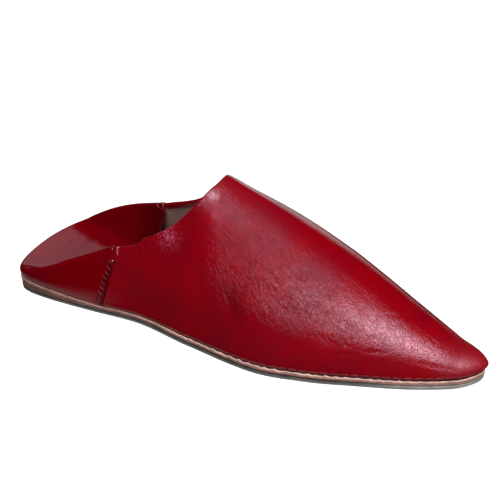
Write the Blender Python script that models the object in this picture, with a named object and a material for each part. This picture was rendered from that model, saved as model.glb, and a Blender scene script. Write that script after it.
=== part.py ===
"""Pointed leather slipper with its heel folded down, standing empty on its sole."""

import math

import bmesh
import bpy
from mathutils import Vector

# Overall sizes of the shoe
LENGTH = 0.280
BALL_WIDTH = 0.0884
INSTEP_HEIGHT = 0.0852

# Layers of the sole, from the floor up
OUTSOLE = 0.0026
HEEL_LIFT = 0.0034
MIDSOLE = 0.0017
INSOLE = 0.0012
GAP = 0.0003
INSOLE_GAP = 0.0006
LIFT_END = 0.230
RAMP_END = 0.275
ARCH_RISE = 0.0007
TOE_SPRING = 0.0026
RIM = 0.0006

# Leather of the upper
WALL = 0.0018
MARGIN = 0.0002
TUCK = 0.0013
TUCK_HEIGHT = 0.0055
NOSE = 0.0018
NOSE_BLUNT = 3.0
RIDGE_SHIFT = 0.0043
PEAK = 0.478

# Side seams, which lean forward on their way up
SEAM_FOOT = 0.244
SEAM_TOP_NEAR = 0.294
SEAM_TOP_FAR = 0.273
STRIP = 0.0032
SEAM_GAP = 0.0005

# Fold of the heel and the trough that its flap makes
FOLD = 0.0013
FOLD_LIMIT = 1.35
FLAP_FRONT = 0.263
FLAP_STEEP = 2.6
FLAP_FRONT_STEEP = 4.5
FLAP_DROP = 0.004
FLAP_LEAN = 0.0006
FLAP_AIR = 0.0004

# Rounded ends, as stations along the length
HEEL_ROUND = 0.048
TOE_ROUND = 0.953

NEAR = -1
FAR = 1

# Colours of the materials and how rough they are
RED = (0.150, 0.000, 0.006)
SEAM_RED = (0.100, 0.000, 0.004)
LINING = (0.260, 0.190, 0.160)
EDGE_TAN = (0.480, 0.270, 0.200)
LIFT_BROWN = (0.150, 0.075, 0.055)
SOLE_GREY = (0.160, 0.130, 0.120)
LEATHER_ROUGH = 0.32
SOLE_ROUGH = 0.70

# Outline of the sole: half-widths as shares of the ball width
SOLE_PLAN = (
    # station, near, far
    (0.00, 0.398, 0.290),
    (0.03, 0.388, 0.352),
    (0.07, 0.410, 0.380),
    (0.12, 0.416, 0.388),
    (0.22, 0.405, 0.392),
    (0.325, 0.391, 0.388),
    (0.46, 0.446, 0.452),
    (0.605, 0.494, 0.506),
    (0.71, 0.435, 0.450),
    (0.79, 0.354, 0.350),
    (0.875, 0.264, 0.250),
    (0.927, 0.198, 0.184),
    (0.969, 0.136, 0.129),
    (1.00, 0.094, 0.088),
)

# Underside of the sole: shares of the arch rise and of the toe spring
SOLE_LIFT = (
    # station, arch, toe
    (0.00, 0.00, 0.00),
    (0.20, 0.00, 0.00),
    (0.33, 1.00, 0.00),
    (0.46, 0.00, 0.00),
    (0.78, 0.00, 0.00),
    (0.88, 0.00, 0.15),
    (0.95, 0.00, 0.50),
    (1.00, 0.00, 1.00),
)

# Arch of the upper, carried on over the heel: heights as shares of the instep height
RIDGE = (
    # station, height, roundness of the top, fullness of the sides
    (0.000, 1.200, 2.00, 1.70),
    (0.170, 1.180, 2.00, 1.70),
    (0.284, 1.120, 1.80, 1.80),
    (0.376, 1.070, 1.55, 2.00),
    (0.478, 1.000, 1.35, 2.20),
    (0.510, 0.955, 1.38, 2.18),
    (0.584, 0.862, 1.45, 2.10),
    (0.688, 0.704, 1.60, 2.00),
    (0.792, 0.530, 1.75, 1.95),
    (0.860, 0.402, 1.85, 1.90),
    (0.896, 0.336, 1.90, 1.90),
    (0.930, 0.273, 1.95, 1.90),
    (0.953, 0.232, 2.00, 1.90),
    (0.984, 0.206, 2.00, 1.90),
    (1.000, 0.190, 2.00, 1.90),
)

# Collar from the side seam to the throat: shares of the instep height
COLLAR = (
    # part of the way, near, far
    (0.00, 0.536, 0.503),
    (0.12, 0.563, 0.535),
    (0.24, 0.592, 0.563),
    (0.30, 0.630, 0.578),
    (0.48, 0.696, 0.633),
    (0.68, 0.785, 0.757),
    (0.84, 0.899, 0.882),
    (0.93, 0.968, 0.956),
    (1.00, 1.000, 1.000),
)

# Crease of the folded heel from its back to the side seam: shares of the instep height
CREASE = (
    # part of the way, near, far
    (0.00, 0.156, 0.156),
    (0.15, 0.176, 0.178),
    (0.28, 0.212, 0.240),
    (0.45, 0.277, 0.325),
    (0.62, 0.361, 0.395),
    (0.79, 0.439, 0.450),
    (1.00, 0.536, 0.503),
)

# Rounded rim of a layer: draw-in as a share of the rim, height as a share of the layer
RIM_STEPS = ((1.0, 0.0), (0.3, 0.12), (0.0, 0.35), (0.0, 0.65), (0.3, 0.88), (1.0, 1.0))

# Number of steps in each surface
SOLE_STEPS = 40
THROAT_STEPS = 10
TOE_STEPS = 26
RISE_STEPS = 14
HEEL_STEPS = 22
WALL_STEPS = 5
FOLD_STEPS = 6
FLAP_STEPS = 9
RISE_POWER = 1.4
FLAP_POWER = 1.5


def blend(rows, column, at):
    """Smooth value of one column of a table, which never swings past its rows."""
    xs = [row[0] for row in rows]
    ys = [row[column] for row in rows]
    at = min(max(at, xs[0]), xs[-1])
    steps = [b - a for a, b in zip(xs, xs[1:])]
    slopes = [(b - a) / d for a, b, d in zip(ys, ys[1:], steps)]
    ends = [slopes[0]]
    for left, right, wide, next_wide in zip(slopes, slopes[1:], steps, steps[1:]):
        if left * right <= 0:
            ends.append(0.0)
        else:
            first = 2 * next_wide + wide
            second = next_wide + 2 * wide
            ends.append((first + second) / (first / left + second / right))
    ends.append(slopes[-1])
    k = max(i for i in range(len(steps)) if xs[i] <= at)
    t = (at - xs[k]) / steps[k]
    rise = steps[k] * (ends[k] * t * (1 - t) ** 2 - ends[k + 1] * t * t * (1 - t))
    return ys[k] + (ys[k + 1] - ys[k]) * t * t * (3 - 2 * t) + rise


def smooth(t):
    """Soft step from zero to one."""
    t = min(max(t, 0.0), 1.0)
    return t * t * (3 - 2 * t)


def rounding(s):
    """Share of the width left at a station inside the rounded heel or toe."""
    short = max((HEEL_ROUND - s) / HEEL_ROUND, (s - TOE_ROUND) / (1 - TOE_ROUND), 0.0)
    return math.sqrt(max(1 - short * short, 0.0))


def along(s, inset=0.0):
    """Lengthwise place of a station on an outline whose two ends are drawn in by the inset."""
    drawn = max(1 - s / HEEL_ROUND, 0.0) - max((s - TOE_ROUND) / (1 - TOE_ROUND), 0.0)
    return s * LENGTH - LENGTH / 2 + inset * drawn


def half_width(s, side, inset=0.0):
    """Half-width of the sole on one side, drawn in by the inset."""
    return (blend(SOLE_PLAN, 1 if side == NEAR else 2, s) * BALL_WIDTH - inset) * rounding(s)


def under(s):
    """Height of the underside of the outsole."""
    return blend(SOLE_LIFT, 1, s) * ARCH_RISE + blend(SOLE_LIFT, 2, s) * TOE_SPRING


def lift_top(s):
    """Height of the underside of the midsole, raised over the heel lift."""
    ramp = (HEEL_LIFT + GAP) * (1 - smooth(s / RAMP_END))
    return under(s) + OUTSOLE + GAP + ramp


def seat(s):
    """Height of the top of the midsole."""
    return lift_top(s) + MIDSOLE


def feather(s):
    """Height of the lower edge of the upper."""
    return seat(s) + GAP


def arch_height(s):
    """Height of the ridge above the lower edge of the upper, falling steeply at the blunt nose."""
    short = max((s - TOE_ROUND) / (1 - TOE_ROUND), 0.0)
    blunt = max(1 - short ** NOSE_BLUNT, 0.0) ** (1 / NOSE_BLUNT)
    return (blend(RIDGE, 1, s) * INSTEP_HEIGHT - feather(s)) * blunt


def upper_point(s, side, rise, inset=0.0):
    """Point on the outside of the upper at a height above its lower edge."""
    drawn = MARGIN + inset + TUCK * max(1 - rise / TUCK_HEIGHT, 0.0) ** 2
    tall = max(arch_height(s), 1e-6)
    q = min(rise / tall, 1.0)
    lean = (1 - q ** blend(RIDGE, 3, s)) ** (1 / blend(RIDGE, 2, s))
    shift = RIDGE_SHIFT * smooth(s / PEAK) * (1 - smooth((s - PEAK) / (1 - PEAK)))
    y = side * half_width(s, side, drawn) * lean + shift * q * q
    nose = NOSE * smooth(rise / TUCK_HEIGHT) * max((s - TOE_ROUND) / (1 - TOE_ROUND), 0.0)
    return Vector((along(s, drawn) + nose, y, feather(s) + rise))


def seam_top(side):
    """Station of the top of the side seam."""
    return SEAM_TOP_NEAR if side == NEAR else SEAM_TOP_FAR


def spaced(count, start, stop, power=1.0):
    """Evenly or increasingly spaced values from start to stop."""
    return [start + (stop - start) * (i / count) ** power for i in range(count + 1)]


def make(name, points, faces, colour, roughness):
    """Closed body from points and faces, in one plain material."""
    mesh = bpy.data.meshes.new(name)
    shape = bmesh.new()
    corners = [shape.verts.new(point) for point in points]
    for face in faces:
        shape.faces.new([corners[i] for i in face])
    bmesh.ops.recalc_face_normals(shape, faces=shape.faces)
    shape.to_mesh(mesh)
    shape.free()
    for polygon in mesh.polygons:
        polygon.use_smooth = True
    body = bpy.data.objects.new(name, mesh)
    bpy.context.collection.objects.link(body)
    material = bpy.data.materials.new(name)
    material.use_nodes = True
    shader = material.node_tree.nodes["Principled BSDF"]
    shader.inputs["Base Color"].default_value = (*colour, 1.0)
    shader.inputs["Roughness"].default_value = roughness
    shader.inputs["Metallic"].default_value = 0.0
    mesh.materials.append(material)
    return body


def plate(name, stations, inset, low, high, colour, roughness):
    """Layer of the sole between two heights, with softly rounded edges."""
    last = len(stations) - 1
    total = 2 * last + (0 if stations[-1] >= 1 else 1)
    loop = [(s, NEAR) for s in stations]
    loop += [(s, FAR) for s in reversed(stations[1:last + (total % 2)])]
    points = []
    for draw, share in RIM_STEPS:
        for s, side in loop:
            drawn = inset + draw * RIM
            deep = low(s) + share * (high(s) - low(s))
            points.append(Vector((along(s, drawn), side * half_width(s, side, drawn), deep)))
    faces = []
    for ring in range(len(RIM_STEPS) - 1):
        for k in range(total):
            a = ring * total + k
            b = ring * total + (k + 1) % total
            faces.append((a, b, b + total, a + total))
    for start in (0, (len(RIM_STEPS) - 1) * total):
        for k in range(last):
            across = [k, k + 1, (total - k - 1) % total, (total - k) % total]
            cell = list(dict.fromkeys(start + i for i in across))
            faces.append(cell if start else cell[::-1])
    return make(name, points, faces, colour, roughness)


def outward(cells, grid):
    """Normal at each point of a grid, from the cells around it."""
    normals = {key: Vector() for key in grid}
    for cell in cells:
        normal = Vector()
        for a, b, c in zip(cell, cell[1:] + cell[:1], cell[2:] + cell[:2]):
            normal += (grid[b] - grid[a]).cross(grid[c] - grid[b])
        for key in cell:
            normals[key] += normal
    return {key: normal.normalized() for key, normal in normals.items()}


def leather(name, cells, grid, foot, out, thick, colour, roughness):
    """Closed sheet: the grid moved outward by one share of its thickness and inward by the rest."""
    cells = [list(dict.fromkeys(cell)) for cell in cells]
    normals = outward(cells, grid)
    for key in foot:
        normals[key].z = 0.0
        normals[key].normalize()
    keys = list(grid)
    number = {key: i for i, key in enumerate(keys)}
    points = [grid[key] + normals[key] * thick * out for key in keys]
    points += [grid[key] - normals[key] * thick * (1 - out) for key in keys]
    for i, key in enumerate(keys):
        if key in foot:
            points[i].z = grid[key].z
            points[i + len(keys)].z = grid[key].z
    faces = []
    border = {}
    for cell in cells:
        faces.append([number[key] for key in cell])
        faces.append([number[key] + len(keys) for key in reversed(cell)])
        for pair in zip(cell, cell[1:] + cell[:1]):
            if pair[::-1] in border:
                del border[pair[::-1]]
            else:
                border[pair] = True
    for a, b in border:
        faces.append([number[b], number[a], number[a] + len(keys), number[b] + len(keys)])
    return make(name, points, faces, colour, roughness)


def seam_rise(side):
    """Height of the top of the side seam above the lower edge of the upper."""
    column = 1 if side == NEAR else 2
    return blend(COLLAR, column, 0.0) * INSTEP_HEIGHT - feather(seam_top(side))


def seam_station(side, share, shift=0.0):
    """Station on the leaning side seam at a share of its rise, moved along the shoe by a shift."""
    return SEAM_FOOT + (seam_top(side) - SEAM_FOOT) * share + shift / LENGTH


def collar_rise(s, side):
    """Height of the collar above the lower edge of the upper, up to the ridge past the throat."""
    if s >= PEAK:
        return arch_height(s)
    start = seam_top(side)
    way = (s - start) / (PEAK - start)
    high = blend(COLLAR, 1 if side == NEAR else 2, way) * INSTEP_HEIGHT - feather(s)
    return min(high, arch_height(s))


def vamp():
    """Hollow front of the upper, from the side seams to the toe."""
    grid = {}
    cells = []
    foot = set()
    ahead = STRIP / 2 + SEAM_GAP
    for side in (NEAR, FAR):
        start = seam_station(side, 1.0, ahead)
        tops = spaced(THROAT_STEPS, start, PEAK)[:-1]
        tops += [PEAK + (1 - PEAK) * math.sin(math.pi / 2 * t) for t in spaced(TOE_STEPS, 0.0, 1.0)]
        names = []
        for col, top in enumerate(tops):
            full = collar_rise(top, side)
            tall = arch_height(top)
            lean = (seam_top(side) - SEAM_FOOT) * (1 - top) / (1 - start)
            full_side = blend(RIDGE, 3, top)
            open_angle = math.asin(min(full / tall, 1.0) ** (full_side / 2)) if tall > 1e-5 else 0
            column = []
            for row, part in enumerate(spaced(RISE_STEPS, 0.0, 1.0, RISE_POWER)):
                rise = tall * math.sin(part * open_angle) ** (2 / full_side)
                s = top - lean * (1 - rise / max(full, 1e-6))
                key = (col, row, side)
                if col == len(tops) - 1:
                    key = "tip"
                elif row == RISE_STEPS and col >= THROAT_STEPS:
                    key = (col, "ridge")
                if key not in grid:
                    grid[key] = upper_point(s, side, rise)
                if row == 0:
                    foot.add(key)
                column.append(key)
            names.append(column)
        for left, right in zip(names, names[1:]):
            for low in range(RISE_STEPS):
                cell = [left[low], right[low], right[low + 1], left[low + 1]]
                cells.append(cell if side == NEAR else cell[::-1])
    return leather("vamp", cells, grid, foot, 0.0, WALL, RED, LEATHER_ROUGH)


def seam_strip(name, side):
    """Narrow band between the quarter and the vamp."""
    grid = {}
    cells = []
    rows = spaced(RISE_STEPS, 0.0, 1.0, RISE_POWER)
    shifts = (-STRIP / 2, 0.0, STRIP / 2)
    for col, shift in enumerate(shifts):
        for row, share in enumerate(rows):
            s = seam_station(side, share, shift)
            grid[col, row] = upper_point(s, side, share * seam_rise(side))
    for col in range(len(shifts) - 1):
        for row in range(RISE_STEPS):
            cell = [(col, row), (col + 1, row), (col + 1, row + 1), (col, row + 1)]
            cells.append(cell if side == NEAR else cell[::-1])
    foot = {(col, 0) for col in range(len(shifts))}
    return leather(name, cells, grid, foot, 0.0, WALL, SEAM_RED, LEATHER_ROUGH)


def trough(s):
    """Height of the middle of the flap where it lies on the insole."""
    return seat(s) + 2 * GAP + INSOLE + WALL / 2 + FLAP_AIR


def quarter():
    """Standing wall round the heel with its upper part folded down into the shoe."""
    way = [math.sin(math.pi / 2 * k / HEEL_STEPS) for k in range(-HEEL_STEPS, HEEL_STEPS + 1)]
    parts = [1 - math.cos(math.pi / 2 * k / HEEL_STEPS) for k in range(HEEL_STEPS + 1)]
    behind = -(STRIP / 2 + SEAM_GAP)
    grid = {}
    walls = []
    for k in range(-HEEL_STEPS, HEEL_STEPS + 1):
        side = NEAR if k < 0 else FAR
        part = parts[abs(k)]
        crease = blend(CREASE, 1 if side == NEAR else 2, part) * INSTEP_HEIGHT
        top = part * seam_station(side, 1.0, behind)
        full = crease - WALL / 2 - FOLD - feather(top)
        wall = []
        for share in spaced(WALL_STEPS, 0.0, 1.0, RISE_POWER):
            high = share * full / (crease - feather(top))
            s = part * seam_station(side, high, behind)
            wall.append(upper_point(s, side, share * full, WALL / 2))
        walls.append((wall, top, full))
    for k, (wall, top, full) in enumerate(walls):
        before = walls[max(k - 1, 0)][0][-1]
        after = walls[min(k + 1, len(walls) - 1)][0][-1]
        tangent = after - before
        inward = Vector((tangent.y, -tangent.x, 0.0)).normalized()
        middle = wall[-1] + inward * FOLD
        side = NEAR if k < HEEL_STEPS else FAR
        share = way[k]
        end = walls[0 if side == NEAR else -1][0][-1]
        front_s = FLAP_FRONT + (seam_station(side, 1.0, behind) - FLAP_FRONT) * abs(share) ** 3
        front_y = abs(share) * (abs(end.y) - 2 * FOLD - FLAP_LEAN) * side
        front_rel = (end.z - FLAP_DROP - trough(front_s)) * abs(share) ** FLAP_FRONT_STEEP
        front = Vector((along(front_s), front_y, trough(front_s) + front_rel))
        start_rel = middle.z + FOLD - trough(top)
        run = max(math.hypot(front.x - middle.x, front.y - middle.y), 1e-4)
        slope = math.atan(max(FLAP_STEEP * (start_rel - front_rel) / run, 0.0))
        turn = math.pi / 2 + min(slope, FOLD_LIMIT)
        line = list(wall)
        for step in spaced(FOLD_STEPS, 0.0, 1.0)[1:]:
            angle = turn * step
            line.append(middle + FOLD * (math.sin(angle) * Vector((0, 0, 1)) - math.cos(angle) * inward))
        start = line[-1]
        start_rel = start.z - trough(top)
        for step in spaced(FLAP_STEPS, 0.0, 1.0, FLAP_POWER)[1:]:
            flat = start.lerp(front, step)
            s = (flat.x + LENGTH / 2) / LENGTH
            fall = (1 - step) ** FLAP_STEEP
            flat.z = trough(s) + front_rel + (start_rel - front_rel) * fall
            line.append(flat)
        for row, point in enumerate(line):
            grid[k, row] = point
    rows = WALL_STEPS + FOLD_STEPS + FLAP_STEPS
    cells = []
    for k in range(len(walls) - 1):
        for row in range(rows):
            cells.append([(k, row), (k, row + 1), (k + 1, row + 1), (k + 1, row)])
    foot = {(k, 0) for k in range(len(walls))}
    return leather("heel_quarter", cells, grid, foot, 0.5, WALL, RED, LEATHER_ROUGH)


def clear():
    """Empty the scene."""
    for item in list(bpy.data.objects):
        bpy.data.objects.remove(item, do_unlink=True)


def build():
    """All pieces of one slipper."""
    turns = spaced(SOLE_STEPS, 0.0, 1.0)
    whole = [(1 - math.cos(math.pi * t)) / 2 for t in turns]
    back = [LIFT_END * (1 - math.cos(math.pi / 2 * t)) for t in turns[::2]]
    plate("outsole", whole, 0.0, under, lambda s: under(s) + OUTSOLE, SOLE_GREY, SOLE_ROUGH)
    plate("heel_lift", back, MARGIN, lambda s: under(s) + OUTSOLE + GAP,
          lambda s: lift_top(s) - GAP, LIFT_BROWN, SOLE_ROUGH)
    plate("midsole", whole, 0.0, lift_top, seat, EDGE_TAN, SOLE_ROUGH)
    inside = MARGIN + TUCK + WALL + INSOLE_GAP
    plate("insole", whole, inside, lambda s: seat(s) + GAP, lambda s: seat(s) + GAP + INSOLE,
          LINING, SOLE_ROUGH)
    vamp()
    seam_strip("side_seam_right", NEAR)
    seam_strip("side_seam_left", FAR)
    quarter()


clear()
build()
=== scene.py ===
"""Looks of a pointed leather slipper with its heel folded down."""

import math

import bmesh
import bpy
import numpy as np
from mathutils import Matrix, Vector


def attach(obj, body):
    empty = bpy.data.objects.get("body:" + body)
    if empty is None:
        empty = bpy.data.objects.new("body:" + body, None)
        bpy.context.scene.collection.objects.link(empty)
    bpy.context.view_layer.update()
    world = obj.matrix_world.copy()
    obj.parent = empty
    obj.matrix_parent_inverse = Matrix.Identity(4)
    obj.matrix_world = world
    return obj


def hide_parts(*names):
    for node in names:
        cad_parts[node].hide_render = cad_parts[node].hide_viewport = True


bl_info = {
    "name": "Folded heel slipper",
    "version": (1, 0, 0),
    "blender": (4, 5, 0),
    "location": "3D View > Sidebar > Slipper",
    "description": "Leather, lining, stitches and sole finish of one pointed slipper",
    "category": "Add Mesh",
}

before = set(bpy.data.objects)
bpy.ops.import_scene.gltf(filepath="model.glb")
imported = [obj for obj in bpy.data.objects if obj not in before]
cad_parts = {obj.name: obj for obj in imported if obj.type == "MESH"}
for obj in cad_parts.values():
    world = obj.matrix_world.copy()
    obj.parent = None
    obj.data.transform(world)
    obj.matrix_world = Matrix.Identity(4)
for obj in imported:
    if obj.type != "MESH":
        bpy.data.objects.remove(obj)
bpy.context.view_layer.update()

# Sizes of the shoe, in metres
LENGTH = 0.280
BALL_WIDTH = 0.0884
INSTEP_HEIGHT = 0.0852
OUTSOLE = 0.0026
HEEL_LIFT = 0.0034
MIDSOLE = 0.0017
INSOLE = 0.0012
GAP = 0.0003
RAMP_END = 0.275
ARCH_RISE = 0.0007
TOE_SPRING = 0.0026
WALL = 0.0018
MARGIN = 0.0002
TUCK = 0.0013
TUCK_HEIGHT = 0.0055
NOSE = 0.0018
NOSE_BLUNT = 3.0
RIDGE_SHIFT = 0.0043
PEAK = 0.478
SEAM_FOOT = 0.244
SEAM_TOP_NEAR = 0.294
SEAM_TOP_FAR = 0.273
STRIP = 0.0032
SEAM_GAP = 0.0005
FOLD = 0.0013
FOLD_LIMIT = 1.35
FLAP_FRONT = 0.263
FLAP_STEEP = 2.6
FLAP_FRONT_STEEP = 4.5
FLAP_DROP = 0.004
FLAP_LEAN = 0.0006
FLAP_AIR = 0.0004
HEEL_ROUND = 0.048
TOE_ROUND = 0.953
RISE_POWER = 1.4
NEAR = -1
FAR = 1

# Leather as it is cut and turned, in metres
SKIN = 0.0010
HEM_BEND = 0.0012
HEM_DEPTH = 0.0030
LINING = 0.0007
LINING_TOP = 0.0030
LIP = 0.0009
LIP_WIDTH = 0.0012
LIFT_END = 0.230
FLAP_OVER = 0.0042
KNOT = 0.80
LINING_GAP = 0.00005
LINING_MEETS = 0.012
SEWN = 0.0027

# Patch of painted glints beside the collar: station and rise of its middle, and its reach both ways
GLINT_PATCH = (0.403, 0.0530, 0.020, 0.0048)

# Numbers of steps in the fine meshes
THROAT_STEPS = 64
TOE_STEPS = 160
RISE_STEPS = 72
HEEL_STEPS = 100
WALL_STEPS = 26
FOLD_STEPS = 12
FLAP_STEPS = 40
BEND_STEPS = 6
HEM_STEPS = 7
SOLE_STEPS = 240
FLAP_POWER = 1.5
LINING_THROAT = 30
LINING_TOE = 60
LINING_RISE = 30
BAND_STEPS = 60
BAND_COLUMNS = 12
LIFT_STEPS = 90
THREAD_SIDES = 8

# Directions in which the grain and the fibres run, and how far the grain wanders
GRAIN_RUN = (0.78, -0.32, -0.55)
GRAIN_WARP = (0.0020, 0.0020, 0.0020)
FIBRE_RUN = (0.12, 0.12, 1.0)

# Fine lines of the flexed leather
CRACK_LINES = (
    # direction, squeeze, scale, width of the line, weight
    ((0.66, -0.20, -0.72), 0.62, 230.0, 0.030, 0.55),
    ((0.30, 0.60, -0.74), 0.55, 330.0, 0.026, 0.40),
)

# Places along the shoe between which the bands of its edges change
BAND_CHANGES = ((-0.065, -0.015), (0.078, 0.112))

# Raw edge of the midsole
EDGE_PROFILE = (
    # inset, share of the height, share of the lip, share of the waves, level
    (0.0006, 0.00, 0.00, 0.0, 0.00),
    (0.0001, 0.10, 0.00, 0.0, 0.12),
    (0.0000, 0.30, 0.00, 0.0, 0.30),
    (0.0000, 0.62, 0.00, 0.1, 0.50),
    (0.0001, 0.92, 0.20, 0.4, 0.68),
    (0.0003, 1.00, 0.75, 0.9, 0.86),
    (0.0006, 1.00, 1.00, 1.0, 1.00),
    (0.0009, 1.00, 0.70, 0.7, 1.00),
    (LIP_WIDTH, 1.00, 0.00, 0.0, 0.80),
)

# Camera: place, turn to the side, tilt and focal length
CAMERA_PLACE = (0.1317, -0.2710, 0.2387)
CAMERA_TURN = 0.426
CAMERA_TILT = 0.5768
CAMERA_LENS = 46.8

# Outline of the sole: half-widths as shares of the ball width
SOLE_PLAN = (
    # station, near, far
    (0.00, 0.398, 0.290),
    (0.03, 0.388, 0.352),
    (0.07, 0.410, 0.380),
    (0.12, 0.416, 0.388),
    (0.22, 0.405, 0.392),
    (0.325, 0.391, 0.388),
    (0.46, 0.446, 0.452),
    (0.605, 0.494, 0.506),
    (0.71, 0.435, 0.450),
    (0.79, 0.354, 0.350),
    (0.875, 0.264, 0.250),
    (0.927, 0.198, 0.184),
    (0.969, 0.136, 0.129),
    (1.00, 0.094, 0.088),
)

# Underside of the sole: shares of the arch rise and of the toe spring
SOLE_LIFT = (
    # station, arch, toe
    (0.00, 0.00, 0.00),
    (0.20, 0.00, 0.00),
    (0.33, 1.00, 0.00),
    (0.46, 0.00, 0.00),
    (0.78, 0.00, 0.00),
    (0.88, 0.00, 0.15),
    (0.95, 0.00, 0.50),
    (1.00, 0.00, 1.00),
)

# Arch of the upper, carried on over the heel: heights as shares of the instep height
RIDGE = (
    # station, height, roundness of the top, fullness of the sides
    (0.000, 1.200, 2.00, 1.70),
    (0.170, 1.180, 2.00, 1.70),
    (0.284, 1.120, 1.80, 1.80),
    (0.376, 1.070, 1.55, 2.00),
    (0.478, 1.000, 1.35, 2.20),
    (0.510, 0.955, 1.38, 2.18),
    (0.584, 0.862, 1.45, 2.10),
    (0.688, 0.704, 1.60, 2.00),
    (0.792, 0.530, 1.75, 1.95),
    (0.860, 0.402, 1.85, 1.90),
    (0.896, 0.336, 1.90, 1.90),
    (0.930, 0.273, 1.95, 1.90),
    (0.953, 0.232, 2.00, 1.90),
    (0.984, 0.206, 2.00, 1.90),
    (1.000, 0.190, 2.00, 1.90),
)

# Collar from the side seam to the throat: shares of the instep height
COLLAR = (
    # part of the way, near, far
    (0.00, 0.536, 0.503),
    (0.12, 0.563, 0.535),
    (0.24, 0.592, 0.563),
    (0.30, 0.630, 0.578),
    (0.48, 0.696, 0.633),
    (0.68, 0.785, 0.757),
    (0.84, 0.899, 0.882),
    (0.93, 0.968, 0.956),
    (1.00, 1.000, 1.000),
)

# Crease of the folded heel from its back to the side seam: shares of the instep height
CREASE = (
    # part of the way, near, far
    (0.00, 0.156, 0.156),
    (0.15, 0.176, 0.178),
    (0.28, 0.212, 0.240),
    (0.45, 0.277, 0.325),
    (0.62, 0.361, 0.395),
    (0.79, 0.439, 0.450),
    (1.00, 0.536, 0.503),
)

# Creases of the vamp, each from a start over a middle to an end: stations along the shoe,
# rises as shares of the arch, width and depth as shares of the wall; a negative depth stands up
VAMP_CREASES = (
    # side, start, rise, middle, rise, end, rise, width, depth
    (NEAR, 0.540, 0.520, 0.556, 0.430, 0.572, 0.330, 3.40, 0.42),
    (NEAR, 0.522, 0.430, 0.536, 0.372, 0.550, 0.330, 1.20, -0.14),
    (NEAR, 0.880, 0.500, 0.919, 0.462, 0.958, 0.470, 0.55, 0.055),
    (NEAR, 0.868, 0.448, 0.900, 0.430, 0.930, 0.425, 0.55, 0.045),
    (NEAR, 0.872, 0.905, 0.903, 0.872, 0.928, 0.850, 0.55, 0.028),
    (NEAR, 0.808, 0.830, 0.833, 0.885, 0.850, 0.940, 0.55, 0.05),
    (NEAR, 0.782, 0.385, 0.806, 0.430, 0.836, 0.470, 0.55, 0.08),
    (NEAR, 0.748, 0.300, 0.772, 0.330, 0.792, 0.350, 0.55, 0.08),
    (NEAR, 0.582, 0.790, 0.604, 0.755, 0.628, 0.715, 0.75, 0.10),
    (NEAR, 0.594, 0.735, 0.620, 0.700, 0.652, 0.680, 0.75, 0.10),
    (NEAR, 0.640, 0.760, 0.655, 0.805, 0.678, 0.850, 0.80, 0.08),
    (NEAR, 0.598, 0.815, 0.610, 0.850, 0.624, 0.885, 0.80, 0.08),
    (NEAR, 0.518, 0.900, 0.528, 0.870, 0.534, 0.830, 0.80, 0.045),
    (NEAR, 0.610, 0.600, 0.640, 0.570, 0.676, 0.560, 1.60, 0.10),
    (NEAR, 0.690, 0.420, 0.730, 0.400, 0.770, 0.410, 1.60, 0.10),
    (FAR, 0.560, 0.560, 0.590, 0.470, 0.630, 0.400, 3.00, 0.30),
    (FAR, 0.600, 0.780, 0.640, 0.730, 0.690, 0.700, 1.00, 0.12),
    (FAR, 0.640, 0.600, 0.690, 0.560, 0.740, 0.560, 0.90, 0.12),
    (FAR, 0.780, 0.480, 0.820, 0.450, 0.870, 0.460, 0.80, 0.12),
    (FAR, 0.860, 0.720, 0.900, 0.660, 0.940, 0.640, 0.80, 0.12),
    (FAR, 0.500, 0.820, 0.530, 0.770, 0.560, 0.700, 1.20, 0.10),
)

# Soft hollows of the heel flap: stations and shares across the shoe, width and depth of the wall
FLAP_CREASES = (
    # start, across, middle, across, end, across, width, depth
    (0.040, -0.30, 0.070, 0.05, 0.050, 0.40, 2.20, 0.20),
    (0.100, -0.55, 0.130, -0.10, 0.120, 0.35, 2.60, 0.16),
    (0.170, 0.10, 0.200, 0.45, 0.235, 0.70, 2.20, 0.18),
    (0.190, -0.70, 0.215, -0.40, 0.240, -0.05, 2.00, 0.14),
)


def blend(rows, column, at):
    """Smooth value of one column of a table, which never swings past its rows."""
    xs = [row[0] for row in rows]
    ys = [row[column] for row in rows]
    at = min(max(at, xs[0]), xs[-1])
    steps = [b - a for a, b in zip(xs, xs[1:])]
    slopes = [(b - a) / d for a, b, d in zip(ys, ys[1:], steps)]
    ends = [slopes[0]]
    for left, right, wide, next_wide in zip(slopes, slopes[1:], steps, steps[1:]):
        if left * right <= 0:
            ends.append(0.0)
        else:
            first = 2 * next_wide + wide
            second = next_wide + 2 * wide
            ends.append((first + second) / (first / left + second / right))
    ends.append(slopes[-1])
    k = max(i for i in range(len(steps)) if xs[i] <= at)
    t = (at - xs[k]) / steps[k]
    rise = steps[k] * (ends[k] * t * (1 - t) ** 2 - ends[k + 1] * t * t * (1 - t))
    return ys[k] + (ys[k + 1] - ys[k]) * t * t * (3 - 2 * t) + rise


def smooth(t):
    """Soft step from zero to one."""
    t = min(max(t, 0.0), 1.0)
    return t * t * (3 - 2 * t)


def rounding(s):
    """Share of the width left at a station inside the rounded heel or toe."""
    short = max((HEEL_ROUND - s) / HEEL_ROUND, (s - TOE_ROUND) / (1 - TOE_ROUND), 0.0)
    return math.sqrt(max(1 - short * short, 0.0))


def along(s, inset=0.0):
    """Lengthwise place of a station on an outline whose two ends are drawn in by the inset."""
    drawn = max(1 - s / HEEL_ROUND, 0.0) - max((s - TOE_ROUND) / (1 - TOE_ROUND), 0.0)
    return s * LENGTH - LENGTH / 2 + inset * drawn


def half_width(s, side, inset=0.0):
    """Half-width of the sole on one side, drawn in by the inset."""
    return (blend(SOLE_PLAN, 1 if side == NEAR else 2, s) * BALL_WIDTH - inset) * rounding(s)


def under(s):
    """Height of the underside of the outsole."""
    return blend(SOLE_LIFT, 1, s) * ARCH_RISE + blend(SOLE_LIFT, 2, s) * TOE_SPRING


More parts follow.
